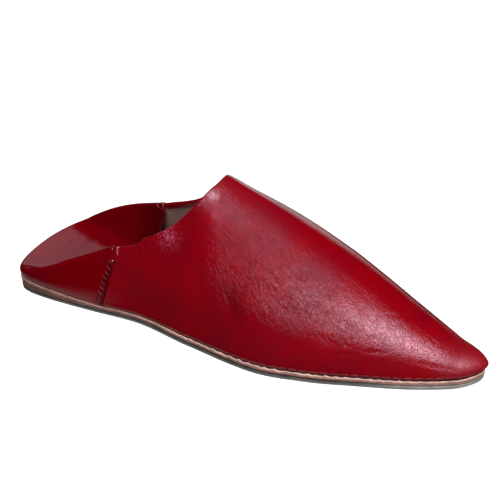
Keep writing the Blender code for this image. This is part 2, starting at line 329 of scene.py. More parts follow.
def lift_top(s):
    """Height of the underside of the midsole, raised over the heel lift."""
    ramp = (HEEL_LIFT + GAP) * (1 - smooth(s / RAMP_END))
    return under(s) + OUTSOLE + GAP + ramp


def seat(s):
    """Height of the top of the midsole."""
    return lift_top(s) + MIDSOLE


def feather(s):
    """Height of the lower edge of the upper."""
    return seat(s) + GAP


def arch_height(s):
    """Height of the ridge above the lower edge of the upper, falling steeply at the blunt nose."""
    short = max((s - TOE_ROUND) / (1 - TOE_ROUND), 0.0)
    blunt = max(1 - short ** NOSE_BLUNT, 0.0) ** (1 / NOSE_BLUNT)
    return (blend(RIDGE, 1, s) * INSTEP_HEIGHT - feather(s)) * blunt


def upper_point(s, side, rise, inset=0.0):
    """Point on the outside of the upper at a height above its lower edge."""
    drawn = MARGIN + inset + TUCK * max(1 - rise / TUCK_HEIGHT, 0.0) ** 2
    tall = max(arch_height(s), 1e-6)
    q = min(rise / tall, 1.0)
    lean = (1 - q ** blend(RIDGE, 3, s)) ** (1 / blend(RIDGE, 2, s))
    shift = RIDGE_SHIFT * smooth(s / PEAK) * (1 - smooth((s - PEAK) / (1 - PEAK)))
    y = side * half_width(s, side, drawn) * lean + shift * q * q
    nose = NOSE * smooth(rise / TUCK_HEIGHT) * max((s - TOE_ROUND) / (1 - TOE_ROUND), 0.0)
    return Vector((along(s, drawn) + nose, y, feather(s) + rise))


def seam_top(side):
    """Station of the top of the side seam."""
    return SEAM_TOP_NEAR if side == NEAR else SEAM_TOP_FAR


def seam_rise(side):
    """Height of the top of the side seam above the lower edge of the upper."""
    return blend(COLLAR, 1 if side == NEAR else 2, 0.0) * INSTEP_HEIGHT - feather(seam_top(side))


def seam_station(side, share, shift=0.0):
    """Station on the leaning side seam at a share of its rise, moved along the shoe by a shift."""
    return SEAM_FOOT + (seam_top(side) - SEAM_FOOT) * share + shift / LENGTH


def collar_rise(s, side):
    """Height of the collar above the lower edge of the upper, up to the ridge past the throat."""
    if s >= PEAK:
        return arch_height(s)
    start = seam_top(side)
    way = (s - start) / (PEAK - start)
    high = blend(COLLAR, 1 if side == NEAR else 2, way) * INSTEP_HEIGHT - feather(s)
    return min(high, arch_height(s))


def trough(s):
    """Height of the middle of the flap where it lies on the insole."""
    return seat(s) + 2 * GAP + INSOLE + WALL / 2 + FLAP_AIR


def spaced(count, start, stop, power=1.0):
    """Evenly or increasingly spaced values from start to stop."""
    return [start + (stop - start) * (i / count) ** power for i in range(count + 1)]


def new_object(name, mesh, materials):
    """Object at the origin that wears the given materials."""
    for material in materials:
        mesh.materials.append(material)
    piece = bpy.data.objects.new(name, mesh)
    bpy.context.scene.collection.objects.link(piece)
    return piece


def finish_piece(piece, *nodes, slot=None):
    """Hand a finished piece to the frame."""
    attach(piece, "root")
    if nodes:
        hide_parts(*nodes)


def turned_out(name, shape):
    """Smooth mesh from a shape in the making, with its faces turned outwards."""
    bmesh.ops.recalc_face_normals(shape, faces=shape.faces)
    mesh = bpy.data.meshes.new(name)
    shape.to_mesh(mesh)
    shape.free()
    for polygon in mesh.polygons:
        polygon.use_smooth = True
    return mesh


def mesh_from(name, points, faces):
    """Mesh from points and faces."""
    shape = bmesh.new()
    corners = [shape.verts.new(point) for point in points]
    for face in faces:
        shape.faces.new([corners[i] for i in face])
    return turned_out(name, shape)


def outward(cells, grid):
    """Normal at each point of a grid, from the cells around it."""
    normals = {key: Vector() for key in grid}
    for cell in cells:
        a, b, c = grid[cell[0]], grid[cell[1]], grid[cell[2]]
        d = grid[cell[-1]]
        normal = (c - a).cross(d - b) if len(cell) == 4 else (b - a).cross(c - a)
        for key in cell:
            normals[key] += normal
    return {key: normal.normalized() for key, normal in normals.items()}


def sheet(name, cells, grid, foot, high, low, cut=()):
    """Closed sheet between two distances along the normals of a grid; cut edges wear the second material."""
    cells = [list(dict.fromkeys(cell)) for cell in cells]
    normals = outward(cells, grid)
    for key in foot:
        normals[key].z = 0.0
        normals[key].normalize()
    keys = list(grid)
    number = {key: i for i, key in enumerate(keys)}
    points = [grid[key] + normals[key] * high for key in keys]
    points += [grid[key] + normals[key] * low for key in keys]
    for i, key in enumerate(keys):
        if key in foot:
            points[i].z = grid[key].z
            points[i + len(keys)].z = grid[key].z
    faces = []
    border = {}
    raw = []
    for cell in cells:
        faces.append([number[key] for key in cell])
        faces.append([number[key] + len(keys) for key in reversed(cell)])
        if all(key in cut for key in cell):
            raw.append(len(faces) - 2)
        for pair in zip(cell, cell[1:] + cell[:1]):
            if pair[::-1] in border:
                del border[pair[::-1]]
            else:
                border[pair] = True
    for a, b in border:
        if a in cut and b in cut:
            raw.append(len(faces))
        faces.append([number[b], number[a], number[a] + len(keys), number[b] + len(keys)])
    mesh = mesh_from(name, points, faces)
    for index in raw:
        mesh.polygons[index].material_index = 1
    return mesh


def bent_line(start, middle, end, count=14):
    """Points on a soft bow through three table places."""
    line = []
    for t in spaced(count, 0.0, 1.0):
        ways = ((1 - t) ** 2, 2 * t * (1 - t), t * t)
        line.append([sum(w * p[i] for w, p in zip(ways, (start, middle, end))) for i in (0, 1)])
    return line


def pressed(points, line, width, depth):
    """How far each point moves inward beside a crease line: a soft trough with low shoulders."""
    best = np.full(len(points), np.inf)
    where = np.zeros(len(points))
    for k, (a, b) in enumerate(zip(line, line[1:])):
        run = b - a
        t = np.clip(((points - a) @ run) / max(run @ run, 1e-12), 0, 1)
        gap = np.linalg.norm(points - a - t[:, None] * run, axis=1)
        closer = gap < best
        best[closer] = gap[closer]
        where[closer] = (k + t[closer]) / (len(line) - 1)
    fade = np.sin(np.pi * np.clip(where, 0.02, 0.98)) ** 0.6
    near = np.exp(-((best / width) ** 2))
    shoulder = np.exp(-(((best - 1.9 * width) / width) ** 2))
    return depth * fade * (near - 0.35 * shoulder)


def vamp_columns(side, throat_steps, toe_steps):
    """Stations of the columns of the vamp along its upper border, and the first of them."""
    start = seam_station(side, 1.0, STRIP / 2 + SEAM_GAP)
    tops = spaced(throat_steps, start, PEAK)[:-1]
    tops += [PEAK + (1 - PEAK) * math.sin(math.pi / 2 * t) for t in spaced(toe_steps, 0.0, 1.0)]
    return start, tops


def vamp_column(side, top, start, rows, short=0.0):
    """Places of one column of the vamp from its foot up, ending short of the collar."""
    full = collar_rise(top, side)
    tall = arch_height(top)
    lean = (seam_top(side) - SEAM_FOOT) * (1 - top) / (1 - start)
    full_side = blend(RIDGE, 3, top)
    reach = min(max(full - short, 0.0) / tall, 1.0) if tall > 1e-5 else 0.0
    angle = math.asin(reach ** (full_side / 2))
    places = []
    for t in spaced(rows, 0.0, 1.0):
        part = 0.55 * t + 0.45 * (1 - math.cos(math.pi * t)) / 2
        rise = tall * math.sin(part * angle) ** (2 / full_side)
        places.append((top - lean * (1 - rise / max(full, 1e-6)), rise))
    return places


def collar_short(top):
    """How far the outside of the vamp ends below the collar to make room for its bend."""
    return HEM_BEND * smooth((PEAK - top) / 0.01) if top < PEAK else 0.0


def puckers(points, line, spacing, width, depth):
    """Row of small stitch dimples along a line, with the leather drawn up between them."""
    steps = np.linalg.norm(np.diff(line, axis=0), axis=1)
    way = np.concatenate([[0.0], np.cumsum(steps)])
    move = np.zeros(len(points))
    count = int(way[-1] / spacing)
    for k in range(count):
        at = (k + 0.5 + 0.22 * math.sin(5.1 * k)) * spacing
        spot = np.array([np.interp(at, way, line[:, i]) for i in range(3)])
        gap = np.linalg.norm(points - spot, axis=1)
        strong = depth * (0.75 + 0.35 * math.sin(2.3 * k))
        move += strong * (np.exp(-((gap / width) ** 2)) - 0.3 * np.exp(-(((gap - 1.8 * width) / width) ** 2)))
    return move


def vamp_surface(side, settings):
    """Outside of one half of the vamp with its creases, as keys and points."""
    start, tops = vamp_columns(side, THROAT_STEPS, TOE_STEPS)
    keys = []
    places = []
    for col, top in enumerate(tops):
        for row, place in enumerate(vamp_column(side, top, start, RISE_STEPS, collar_short(top))):
            keys.append((col, row))
            places.append(place)
    points = np.array([upper_point(s, side, rise) for s, rise in places])
    move = np.zeros(len(points))
    for row in VAMP_CREASES:
        if row[0] != side:
            continue
        bow = bent_line(row[1:3], row[3:5], row[5:7])
        line = [np.array(upper_point(s, side, q * arch_height(s))) for s, q in bow]
        move += pressed(points, line, row[7] * WALL, row[8] * WALL * settings.crease_depth)
    hem = []
    for t in spaced(60, 0.06, 0.66):
        s = seam_top(side) + (PEAK - seam_top(side)) * t
        hem.append(upper_point(s, side, max(collar_rise(s, side) - settings.hem_stitch, 0.0)))
    move += puckers(points, np.array(hem), settings.pucker_spacing, 0.0011, settings.pucker_depth)
    cols, rows = len(tops), RISE_STEPS + 1
    grid = points.reshape(cols, rows, 3)
    normal = np.cross(np.gradient(grid, axis=0), np.gradient(grid, axis=1)).reshape(-1, 3)
    normal *= 1 if side == NEAR else -1
    size = np.linalg.norm(normal, axis=1)
    normal[size > 1e-12] /= size[size > 1e-12, None]
    fade = np.array([smooth(rise / 0.004) * (smooth((1 - s) / 0.03)) for s, rise in places])
    ridge = np.array([1.0 if s < PEAK else smooth((1 - rise / max(arch_height(s), 1e-6)) / 0.05)
                      for s, rise in places])
    points = points - normal * (move * fade * ridge)[:, None]
    return keys, [Vector(p) for p in points], len(tops), THROAT_STEPS


def two_halves(surface, rows):
    """Keyed grid of both halves of the vamp, joined along the ridge and at the tip, and its rims."""
    grid = {}
    cells = []
    foot = set()
    rims = {}
    for side in (NEAR, FAR):
        keys, points, count, ridge = surface(side)
        names = {}
        for (col, row), point in zip(keys, points):
            key = (col, row, side)
            if col == count - 1:
                key = "tip"
            elif row == rows and col >= ridge:
                key = (col, "ridge")
            names[col, row] = key
            if key not in grid:
                grid[key] = point
            elif key != "tip":
                grid[key] = (grid[key] + point) / 2
            if row == 0:
                foot.add(key)
        for col in range(count - 1):
            for row in range(rows):
                cell = [names[col, row], names[col + 1, row], names[col + 1, row + 1], names[col, row + 1]]
                cells.append(cell if side == NEAR else cell[::-1])
        rims[side] = [names[col, rows] for col in range(ridge + 1)]
    return grid, cells, foot, rims


def vamp_grid(settings):
    """Keyed grid of the whole vamp with the bend of its collar and the turned hem."""
    grid, cells, foot, rims = two_halves(lambda side: vamp_surface(side, settings), RISE_STEPS)
    normals = outward([list(dict.fromkeys(cell)) for cell in cells], grid)
    line = rims[NEAR] + rims[FAR][-2::-1]
    hem = []
    for k, key in enumerate(line):
        before = grid[line[max(k - 1, 0)]]
        after = grid[line[min(k + 1, len(line) - 1)]]
        down = normals[key].cross((after - before).normalized()).normalized()
        if down.z > 0 and down.x < 0:
            down = -down
        hem.append((grid[key], normals[key], down))
    for k, (top, normal, down) in enumerate(hem):
        middle = top - normal * HEM_BEND
        for step in range(1, BEND_STEPS + 1):
            angle = math.pi * step / BEND_STEPS
            grid["hem", k, step] = middle + HEM_BEND * (math.cos(angle) * normal - math.sin(angle) * down)
        for step in range(1, HEM_STEPS + 1):
            deep = HEM_DEPTH * step / HEM_STEPS
            grid["hem", k, BEND_STEPS + step] = middle - normal * HEM_BEND + down * deep
    last = BEND_STEPS + HEM_STEPS
    for k in range(len(line) - 1):
        low = [line[k], line[k + 1]]
        for step in range(1, last + 1):
            high = [("hem", k, step), ("hem", k + 1, step)]
            cells.append([low[0], low[1], high[1], high[0]])
            low = high
    cut = {("hem", k, step) for k in range(len(line)) for step in (last - 1, last)}
    return grid, cells, foot, cut


def lining_surface(side):
    """One half of the lining, coarser than the vamp and ending below the collar."""
    start, tops = vamp_columns(side, LINING_THROAT, LINING_TOE)
    keys = []
    points = []
    for col, top in enumerate(tops):
        short = LINING_TOP if top < PEAK else LINING_TOP * smooth(1 - (top - PEAK) / LINING_MEETS)
        for row, (s, rise) in enumerate(vamp_column(side, top, start, LINING_RISE, short)):
            keys.append((col, row))
            points.append(upper_point(s, side, rise))
    return keys, points, len(tops), sum(top < PEAK + LINING_MEETS for top in tops)


def lining_grid():
    """Keyed grid of the whole lining."""
    return two_halves(lining_surface, LINING_RISE)[:3]


def quarter_grid(settings):
    """Keyed grid of the wall round the heel, its fold and the flap that lies in the shoe."""
    parts = [1 - math.cos(math.pi / 2 * k / HEEL_STEPS) for k in range(HEEL_STEPS + 1)]
    behind = -(STRIP / 2 + SEAM_GAP)
    walls = []
    for k in range(-HEEL_STEPS, HEEL_STEPS + 1):
        side = NEAR if k < 0 else FAR
        part = parts[abs(k)]
        crease = blend(CREASE, 1 if side == NEAR else 2, part) * INSTEP_HEIGHT
        top = part * seam_station(side, 1.0, behind)
        full = crease - WALL / 2 - FOLD - feather(top)
        wall = []
        for share in spaced(WALL_STEPS, 0.0, 1.0, RISE_POWER):
            high = share * full / (crease - feather(top))
            s = part * seam_station(side, high, behind)
            wall.append(upper_point(s, side, share * full, WALL / 2))
        walls.append((wall, top))
    grid = {}
    for k, (wall, top) in enumerate(walls):
        before = walls[max(k - 1, 0)][0][-1]
        after = walls[min(k + 1, len(walls) - 1)][0][-1]
        tangent = after - before
        inward = Vector((tangent.y, -tangent.x, 0.0)).normalized()
        middle = wall[-1] + inward * FOLD
        side = NEAR if k < HEEL_STEPS else FAR
        share = math.sin(math.pi / 2 * (k - HEEL_STEPS) / HEEL_STEPS)
        end = walls[0 if side == NEAR else -1][0][-1]
        front_s = FLAP_FRONT + (seam_station(side, 1.0, behind) - FLAP_FRONT) * abs(share) ** 3
        front_y = abs(share) * (abs(end.y) - 2 * FOLD - FLAP_LEAN) * side
        front_rel = (end.z - FLAP_DROP - trough(front_s)) * abs(share) ** FLAP_FRONT_STEEP
        front = Vector((along(front_s), front_y, trough(front_s) + front_rel))
        start_rel = middle.z + FOLD - trough(top)
        run = max(math.hypot(front.x - middle.x, front.y - middle.y), 1e-4)
        slope = math.atan(max(FLAP_STEEP * (start_rel - front_rel) / run, 0.0))
        turn = math.pi / 2 + min(slope, FOLD_LIMIT)
        line = list(wall)
        for step in spaced(FOLD_STEPS, 0.0, 1.0)[1:]:
            angle = turn * step
            line.append(middle + FOLD * (math.sin(angle) * Vector((0, 0, 1)) - math.cos(angle) * inward))
        start = line[-1]
        start_rel = start.z - trough(top)
        for step in spaced(FLAP_STEPS, 0.0, 1.0, FLAP_POWER)[1:]:
            flat = start.lerp(front, step)
            s = (flat.x + LENGTH / 2) / LENGTH
            flat.x += FLAP_OVER * abs(share) ** 10 * min(step * 4, 1.0)
            fall = (1 - step) ** FLAP_STEEP
            flat.z = trough(s) + front_rel + (start_rel - front_rel) * fall
            line.append(flat)
        for row, point in enumerate(line):
            grid[k, row] = point
    flap = [key for key in grid if key[1] > WALL_STEPS + FOLD_STEPS]
    points = np.array([grid[key] for key in flap])
    level = points * (1, 1, 0)
    move = np.zeros(len(flap))
    for row in FLAP_CREASES:
        bow = bent_line(row[0:2], row[2:4], row[4:6])
        line = [np.array((along(s), y * BALL_WIDTH * 0.4, 0.0)) for s, y in bow]
        move += pressed(level, line, row[6] * WALL, row[7] * WALL * settings.crease_depth)
    for key, shift in zip(flap, move):
        fade = smooth((key[1] - WALL_STEPS - FOLD_STEPS) / 6) * smooth((key[0] + 1) / 8)
        grid[key].z += abs(shift) * fade * 0.5
    rows = WALL_STEPS + FOLD_STEPS + FLAP_STEPS
    cells = []
    for k in range(len(walls) - 1):
        for row in range(rows):
            cells.append([(k, row), (k, row + 1), (k + 1, row + 1), (k + 1, row)])
    foot = {(k, 0) for k in range(len(walls))}
    return grid, cells, foot


def tube(line, radius):
    """Mesh of a round thread along a line of points, with closed ends."""
    curve = bpy.data.curves.new("thread", "CURVE")
    curve.dimensions = "3D"
    curve.bevel_depth = radius
    curve.bevel_resolution = THREAD_SIDES // 4
    curve.use_fill_caps = True
    spline = curve.splines.new("BEZIER")
    spline.bezier_points.add(len(line) - 1)
    for point, place in zip(spline.bezier_points, line):
        point.co = place
        point.handle_left_type = point.handle_right_type = "AUTO"
    holder = bpy.data.objects.new("thread", curve)
    bpy.context.scene.collection.objects.link(holder)
    graph = bpy.context.evaluated_depsgraph_get()
    mesh = bpy.data.meshes.new_from_object(holder.evaluated_get(graph))
    bpy.data.objects.remove(holder, do_unlink=True)
    bpy.data.curves.remove(curve)
    return mesh


def joined(name, meshes, materials):
    """One object from several meshes."""
    shape = bmesh.new()
    for mesh in meshes:
        shape.from_mesh(mesh)
        bpy.data.meshes.remove(mesh)
    bmesh.ops.remove_doubles(shape, verts=shape.verts, dist=1e-7)
    return new_object(name, turned_out(name, shape), materials)


def path_object(name, line, out):
    """Wire that stitches follow, each point with the direction that faces away from the leather."""
    mesh = bpy.data.meshes.new(name)
    mesh.from_pydata(line, [(i, i + 1) for i in range(len(line) - 1)], [])
    away = mesh.attributes.new("away", "FLOAT_VECTOR", "POINT")
    away.data.foreach_set("vector", [x for direction in out for x in direction])
    return new_object(name, mesh, [])


def wire(tree, start, end):
    """Link two sockets of a node tree."""
    tree.links.new(start, end)


def node(tree, kind, sockets=None, **settings):
    """New node with its settings; each socket that is named gets a link or a value."""
    made = tree.nodes.new(kind)
    for label, value in settings.items():
        setattr(made, label, value)
    for key, value in (sockets or {}).items():
        if isinstance(value, bpy.types.NodeSocket):
            wire(tree, value, made.inputs[key])
        else:
            made.inputs[key].default_value = value
    return made


def group_tree(name, kind, inputs, outputs):
    """New node group with typed sockets: its tree, the sockets that come in and its output node."""
    tree = bpy.data.node_groups.new(name, kind)
    for way, rows in (("INPUT", inputs), ("OUTPUT", outputs)):
        for label, sort in rows.items():
            tree.interface.new_socket(label, in_out=way, socket_type="NodeSocket" + sort)
    return tree, node(tree, "NodeGroupInput").outputs, node(tree, "NodeGroupOutput")


def maths(tree, operation, first, second):
    """Result of a math node whose inputs are sockets or numbers."""
    return node(tree, "ShaderNodeMath", {0: first, 1: second}, operation=operation).outputs[0]


def vector_maths(tree, operation, *values):
    """Result of a vector math node."""
    return node(tree, "ShaderNodeVectorMath", dict(enumerate(values)), operation=operation).outputs[0]


def stitch_tree():
    """Geometry nodes that set small arched threads along a wire."""
    tree, into, out = group_tree(
        "thread_stitches", "GeometryNodeTree",
        {"Geometry": "Geometry", "Spacing": "Float", "Stitch Length": "Float", "Thread Radius": "Float",
         "Arch": "Float", "Turn": "Float", "Unevenness": "Float", "Seed": "Int", "Material": "Material"},
        {"Geometry": "Geometry"})
    curve = node(tree, "GeometryNodeMeshToCurve", {"Mesh": into["Geometry"]})
    points = node(tree, "GeometryNodeCurveToPoints",
                  {"Curve": curve.outputs["Curve"], "Length": into["Spacing"]}, mode="LENGTH")
    away = node(tree, "GeometryNodeInputNamedAttribute", {"Name": "away"}, data_type="FLOAT_VECTOR")
    axes = node(tree, "FunctionNodeAxesToRotation",
                {0: away.outputs["Attribute"], 1: points.outputs["Tangent"]},
                primary_axis="Z", secondary_axis="X")
    uneven = into["Unevenness"]
    random = node(tree, "FunctionNodeRandomValue",
                  {"Seed": into["Seed"], 2: maths(tree, "MULTIPLY", uneven, -1.0), 3: uneven},
                  data_type="FLOAT")
    turn = node(tree, "ShaderNodeCombineXYZ", {"Z": maths(tree, "ADD", into["Turn"], random.outputs[1])})
    spin = node(tree, "FunctionNodeRotateRotation", {0: axes.outputs[0], 1: turn.outputs[0]},
                rotation_space="LOCAL")
    arch = node(tree, "GeometryNodeCurveQuadraticBezier", {"Resolution": THREAD_SIDES})
    dip = maths(tree, "MULTIPLY", into["Thread Radius"], -1.0)
    peak = maths(tree, "MULTIPLY", into["Arch"], 2.0)
    for label, reach, height in (("Start", -0.5, dip), ("Middle", 0.0, peak), ("End", 0.5, dip)):
        share = maths(tree, "MULTIPLY", into["Stitch Length"], reach)
        place = node(tree, "ShaderNodeCombineXYZ", {"X": share, "Z": height})
        wire(tree, place.outputs[0], arch.inputs[label])
    ring = node(tree, "GeometryNodeCurvePrimitiveCircle",
                {"Resolution": THREAD_SIDES, "Radius": into["Thread Radius"]})
    thread = node(tree, "GeometryNodeCurveToMesh",
                  {"Curve": arch.outputs["Curve"], "Profile Curve": ring.outputs["Curve"], "Fill Caps": True})
    laid = node(tree, "GeometryNodeInstanceOnPoints",
                {"Points": points.outputs["Points"], "Instance": thread.outputs["Mesh"],
                 "Rotation": spin.outputs[0]})
    real = node(tree, "GeometryNodeRealizeInstances", {"Geometry": laid.outputs["Instances"]})
    shade = node(tree, "GeometryNodeSetShadeSmooth", {"Geometry": real.outputs["Geometry"]})
    paint = node(tree, "GeometryNodeSetMaterial",
                 {"Geometry": shade.outputs["Geometry"], "Material": into["Material"]})
    wire(tree, paint.outputs["Geometry"], out.inputs["Geometry"])
    return tree


def stitched(name, line, out, values):
    """Piece of real stitches along a line, from the shared node tree."""
    tree = bpy.data.node_groups.get("thread_stitches") or stitch_tree()
    piece = path_object(name, line, out)
    modifier = piece.modifiers.new("stitches", "NODES")
    modifier.node_group = tree
    sockets = {item.name: item.identifier for item in tree.interface.items_tree if item.in_out == "INPUT"}
    for label, value in values.items():
        modifier[sockets[label]] = value
    graph = bpy.context.evaluated_depsgraph_get()
    mesh = bpy.data.meshes.new_from_object(piece.evaluated_get(graph))
    piece.modifiers.clear()
    piece.data = mesh
    return piece


def dim(colour, share):
    """Colour times a share."""
    return tuple(c * share for c in colour)


def noise(tree, vector, scale, detail=3.0, roughness=0.5, output=0):
    """Noise texture read at a vector."""
    return node(tree, "ShaderNodeTexNoise", {"Scale": scale, "Detail": detail, "Roughness": roughness,
                                             "Vector": vector}).outputs[output]


def stretched(tree, vector, direction, squeeze):
    """Coordinates drawn out along a direction, so that a pattern runs along it."""
    direction = Vector(direction).normalized()
    dot = node(tree, "ShaderNodeVectorMath", {0: vector, 1: direction}, operation="DOT_PRODUCT")
    part = node(tree, "ShaderNodeVectorMath", {0: direction * squeeze, "Scale": dot.outputs["Value"]},
                operation="SCALE")
    return vector_maths(tree, "SUBTRACT", vector, part.outputs[0])


def ramp(tree, value, low, high, start=0.0, stop=1.0):
    """Value mapped smoothly from one range to another and held at its ends."""
    return node(tree, "ShaderNodeMapRange",
                {"Value": value, "From Min": low, "From Max": high, "To Min": start, "To Max": stop},
                interpolation_type="SMOOTHSTEP").outputs["Result"]


def mixed(tree, share, first, second):
    """Colour between two colours by a share."""
    first, second = ((*c, 1.0) if isinstance(c, tuple) else c for c in (first, second))
    return node(tree, "ShaderNodeMix", {0: share, 6: first, 7: second}, data_type="RGBA").outputs[2]


def attribute(tree, name):
    """Value of an attribute of the mesh."""
    return node(tree, "ShaderNodeAttribute", attribute_name=name).outputs["Fac"]


def object_place(tree):
    """Object coordinates."""
    return node(tree, "ShaderNodeTexCoord").outputs["Object"]


def shared(tree, name, build, values):
    """Outputs of a shader group that is built once, placed in a material."""
    group = bpy.data.node_groups.get(name) or build()
    return node(tree, "ShaderNodeGroup", values, node_tree=group).outputs


def grain_group():
    """Fine pebbles of the leather and the small wrinkles and cracks of its flexed parts."""
    group, into, out = group_tree(
        "leather_grain", "ShaderNodeTree",
        {"Vector": "Vector", "Pebble Height": "Float", "Wrinkle Height": "Float", "Flex": "Float"},
        {"Height": "Float", "Shade": "Float", "Cracks": "Float"})
    place = into["Vector"]
    bend = vector_maths(group, "MULTIPLY_ADD", noise(group, place, 260.0, 2.0, output="Color"), GRAIN_WARP,
                        place)
    pebble = node(group, "ShaderNodeTexVoronoi", {"Scale": 1500.0, "Smoothness": 0.3, "Vector": bend},
                  feature="SMOOTH_F1")
    dome = maths(group, "MULTIPLY", maths(group, "SUBTRACT", 1.0, pebble.outputs["Distance"]),
                 into["Pebble Height"])
    folds = noise(group, stretched(group, bend, GRAIN_RUN, 0.42), 360.0, 6.0, 0.68)
    cells = node(group, "ShaderNodeTexVoronoi",
                 {"Scale": 620.0, "Vector": stretched(group, bend, GRAIN_RUN, 0.55)},
                 feature="DISTANCE_TO_EDGE")
    total = maths(group, "ADD", maths(group, "MULTIPLY", folds, 3.3),
                  ramp(group, cells.outputs["Distance"], 0.0, 0.18, 0.0, 0.30))
    lines = 0.0
    for direction, squeeze, scale, narrow, weight in CRACK_LINES:
        field = noise(group, stretched(group, bend, direction, squeeze), scale, 4.0, 0.55)
        away = maths(group, "ABSOLUTE", maths(group, "SUBTRACT", field, 0.5), 0.0)
        line = ramp(group, away, 0.0, narrow, 1.0, 0.0)
        total = maths(group, "SUBTRACT", total, maths(group, "MULTIPLY", line, weight))
        lines = maths(group, "MAXIMUM", lines, line)
    broken = ramp(group, noise(group, place, 210.0, 3.0, 0.6), 0.38, 0.60)
    cracks = maths(group, "MULTIPLY", maths(group, "MULTIPLY", lines, broken), into["Flex"])
    deep = maths(group, "MULTIPLY", total, maths(group, "MULTIPLY", into["Wrinkle Height"], into["Flex"]))
    for label, value in (("Height", maths(group, "ADD", dome, deep)), ("Cracks", cracks),
                         ("Shade", noise(group, place, 34.0, 3.0, 0.6))):
        wire(group, value, out.inputs[label])
    return group


def scuff_group():
    """Patchy dirt and fine fibres that shade a sole."""
    group, into, out = group_tree("sole_scuffs", "ShaderNodeTree", {"Vector": "Vector"},
                                  {"Patches": "Float", "Fibres": "Float"})
    patch = noise(group, into["Vector"], 120.0, 4.0, 0.65)
    flat = vector_maths(group, "MULTIPLY", into["Vector"], FIBRE_RUN)
    wire(group, ramp(group, patch, 0.36, 0.64), out.inputs["Patches"])
    wire(group, noise(group, flat, 1500.0, 3.0, 0.6), out.inputs["Fibres"])
    return group


def shader_of(name, roughness, specular=0.5):
    """New material with its tree, its shader and the object coordinates."""
    material = bpy.data.materials.new(name)
    material.use_nodes = True
    tree = material.node_tree
    shader = tree.nodes["Principled BSDF"]
    shader.inputs["Roughness"].default_value = roughness
    shader.inputs["Specular IOR Level"].default_value = specular
    return material, tree, shader, object_place(tree)


def scuffed(tree, place):
    """Patches and fibres of a sole layer."""
    scuff = shared(tree, "sole_scuffs", scuff_group, {"Vector": place})
    return scuff["Patches"], scuff["Fibres"]


def bump(tree, shader, height):
    """Bump from a height in metres."""
    made = node(tree, "ShaderNodeBump", {"Distance": 1.0, "Strength": 1.0, "Height": height})
    wire(tree, made.outputs["Normal"], shader.inputs["Normal"])


def red_leather(name, settings, pebble, wrinkle, deep=1.0, gloss=1.0):
    """Glossy red leather that reads the attributes of its piece: flex, foot (painted shade and the dark
    seam), glints (painted highlight) and dull.
    """
    basis = settings.roughness * gloss
    material, tree, shader, place = shader_of(name, basis, settings.specular)
    shader.inputs["Specular Tint"].default_value = (*settings.gleam, 1.0)
    shader.inputs["Coat Weight"].default_value = settings.coat
    shader.inputs["Coat Roughness"].default_value = settings.coat_roughness * gloss
    flex, foot, rub, dull = (attribute(tree, label) for label in ("flex", "foot", "rub", "dull"))
    grain = shared(tree, "leather_grain", grain_group,
                   {"Vector": place, "Pebble Height": pebble, "Wrinkle Height": wrinkle, "Flex": flex})
    shade = dim(settings.shade, deep)
    tone = mixed(tree, ramp(tree, grain["Shade"], 0.35, 0.68), dim(settings.colour, deep), shade)
    # Painted shade: the foot attribute mixes in a near-black red along the foot of the upper, in a dent, near
    # the collar and inside the heel flap; on the side seams it makes the dark seam
    tone = mixed(tree, foot, tone, dim(shade, 0.12))
    # Painted shade: the colour darkens inside the cracks of the flexed leather
    tone = mixed(tree, maths(tree, "MULTIPLY", grain["Cracks"], 0.60), tone, dim(shade, 0.45))
    # Painted highlight: pink dashes in the glint patch stand for glints of light
    glint_dashes = noise(tree, stretched(tree, place, (0.0, -0.3, 1.0), 0.72), 1100.0, 2.0, 0.6)
    worn = maths(tree, "MULTIPLY", ramp(tree, glint_dashes, 0.47, 0.60), rub)
    wire(tree, mixed(tree, worn, tone, tuple(settings.rubbed)), shader.inputs["Base Color"])
    rough = ramp(tree, grain["Shade"], 0.3, 0.7, basis - 0.02, basis + 0.04)
    for mask, more in ((flex, 0.03), (grain["Cracks"], 0.22), (dull, 0.30)):
        rough = maths(tree, "ADD", rough, maths(tree, "MULTIPLY", mask, more))
    wire(tree, rough, shader.inputs["Roughness"])
    bump(tree, shader, grain["Height"])
    return material


def marked(mesh, **values):
    """Mesh attributes that the leather reads."""
    for label, value in values.items():
        data = mesh.attributes.new(label, "FLOAT", "POINT")
        data.data.foreach_set("value", np.clip(value, 0, 3).astype(np.float32))


def by_station(value, s):
    """Values at many stations of a function of one station."""
    return np.interp(s, np.linspace(0, 1, 101), [value(t / 100) for t in range(101)])


def mesh_places(mesh):
    """Station, height above the lower edge of the upper and place towards the near side of every point."""
    co = np.zeros(len(mesh.vertices) * 3)
    mesh.vertices.foreach_get("co", co)
    co = co.reshape(-1, 3)
    s = np.clip(co[:, 0] / LENGTH + 0.5, 0.0, 1.0)
    return s, co[:, 2] - by_station(feather, s), -co[:, 1]


def bell(at, middle, width, power=2):
    """Soft hump round a middle, with a flat top at a higher power."""
    return np.exp(-(((at - middle) / width) ** power))


def passing(at, middle, width):
    """Soft step that is half done at its middle."""
    return 1 / (1 + np.exp(-(at - middle) / width))


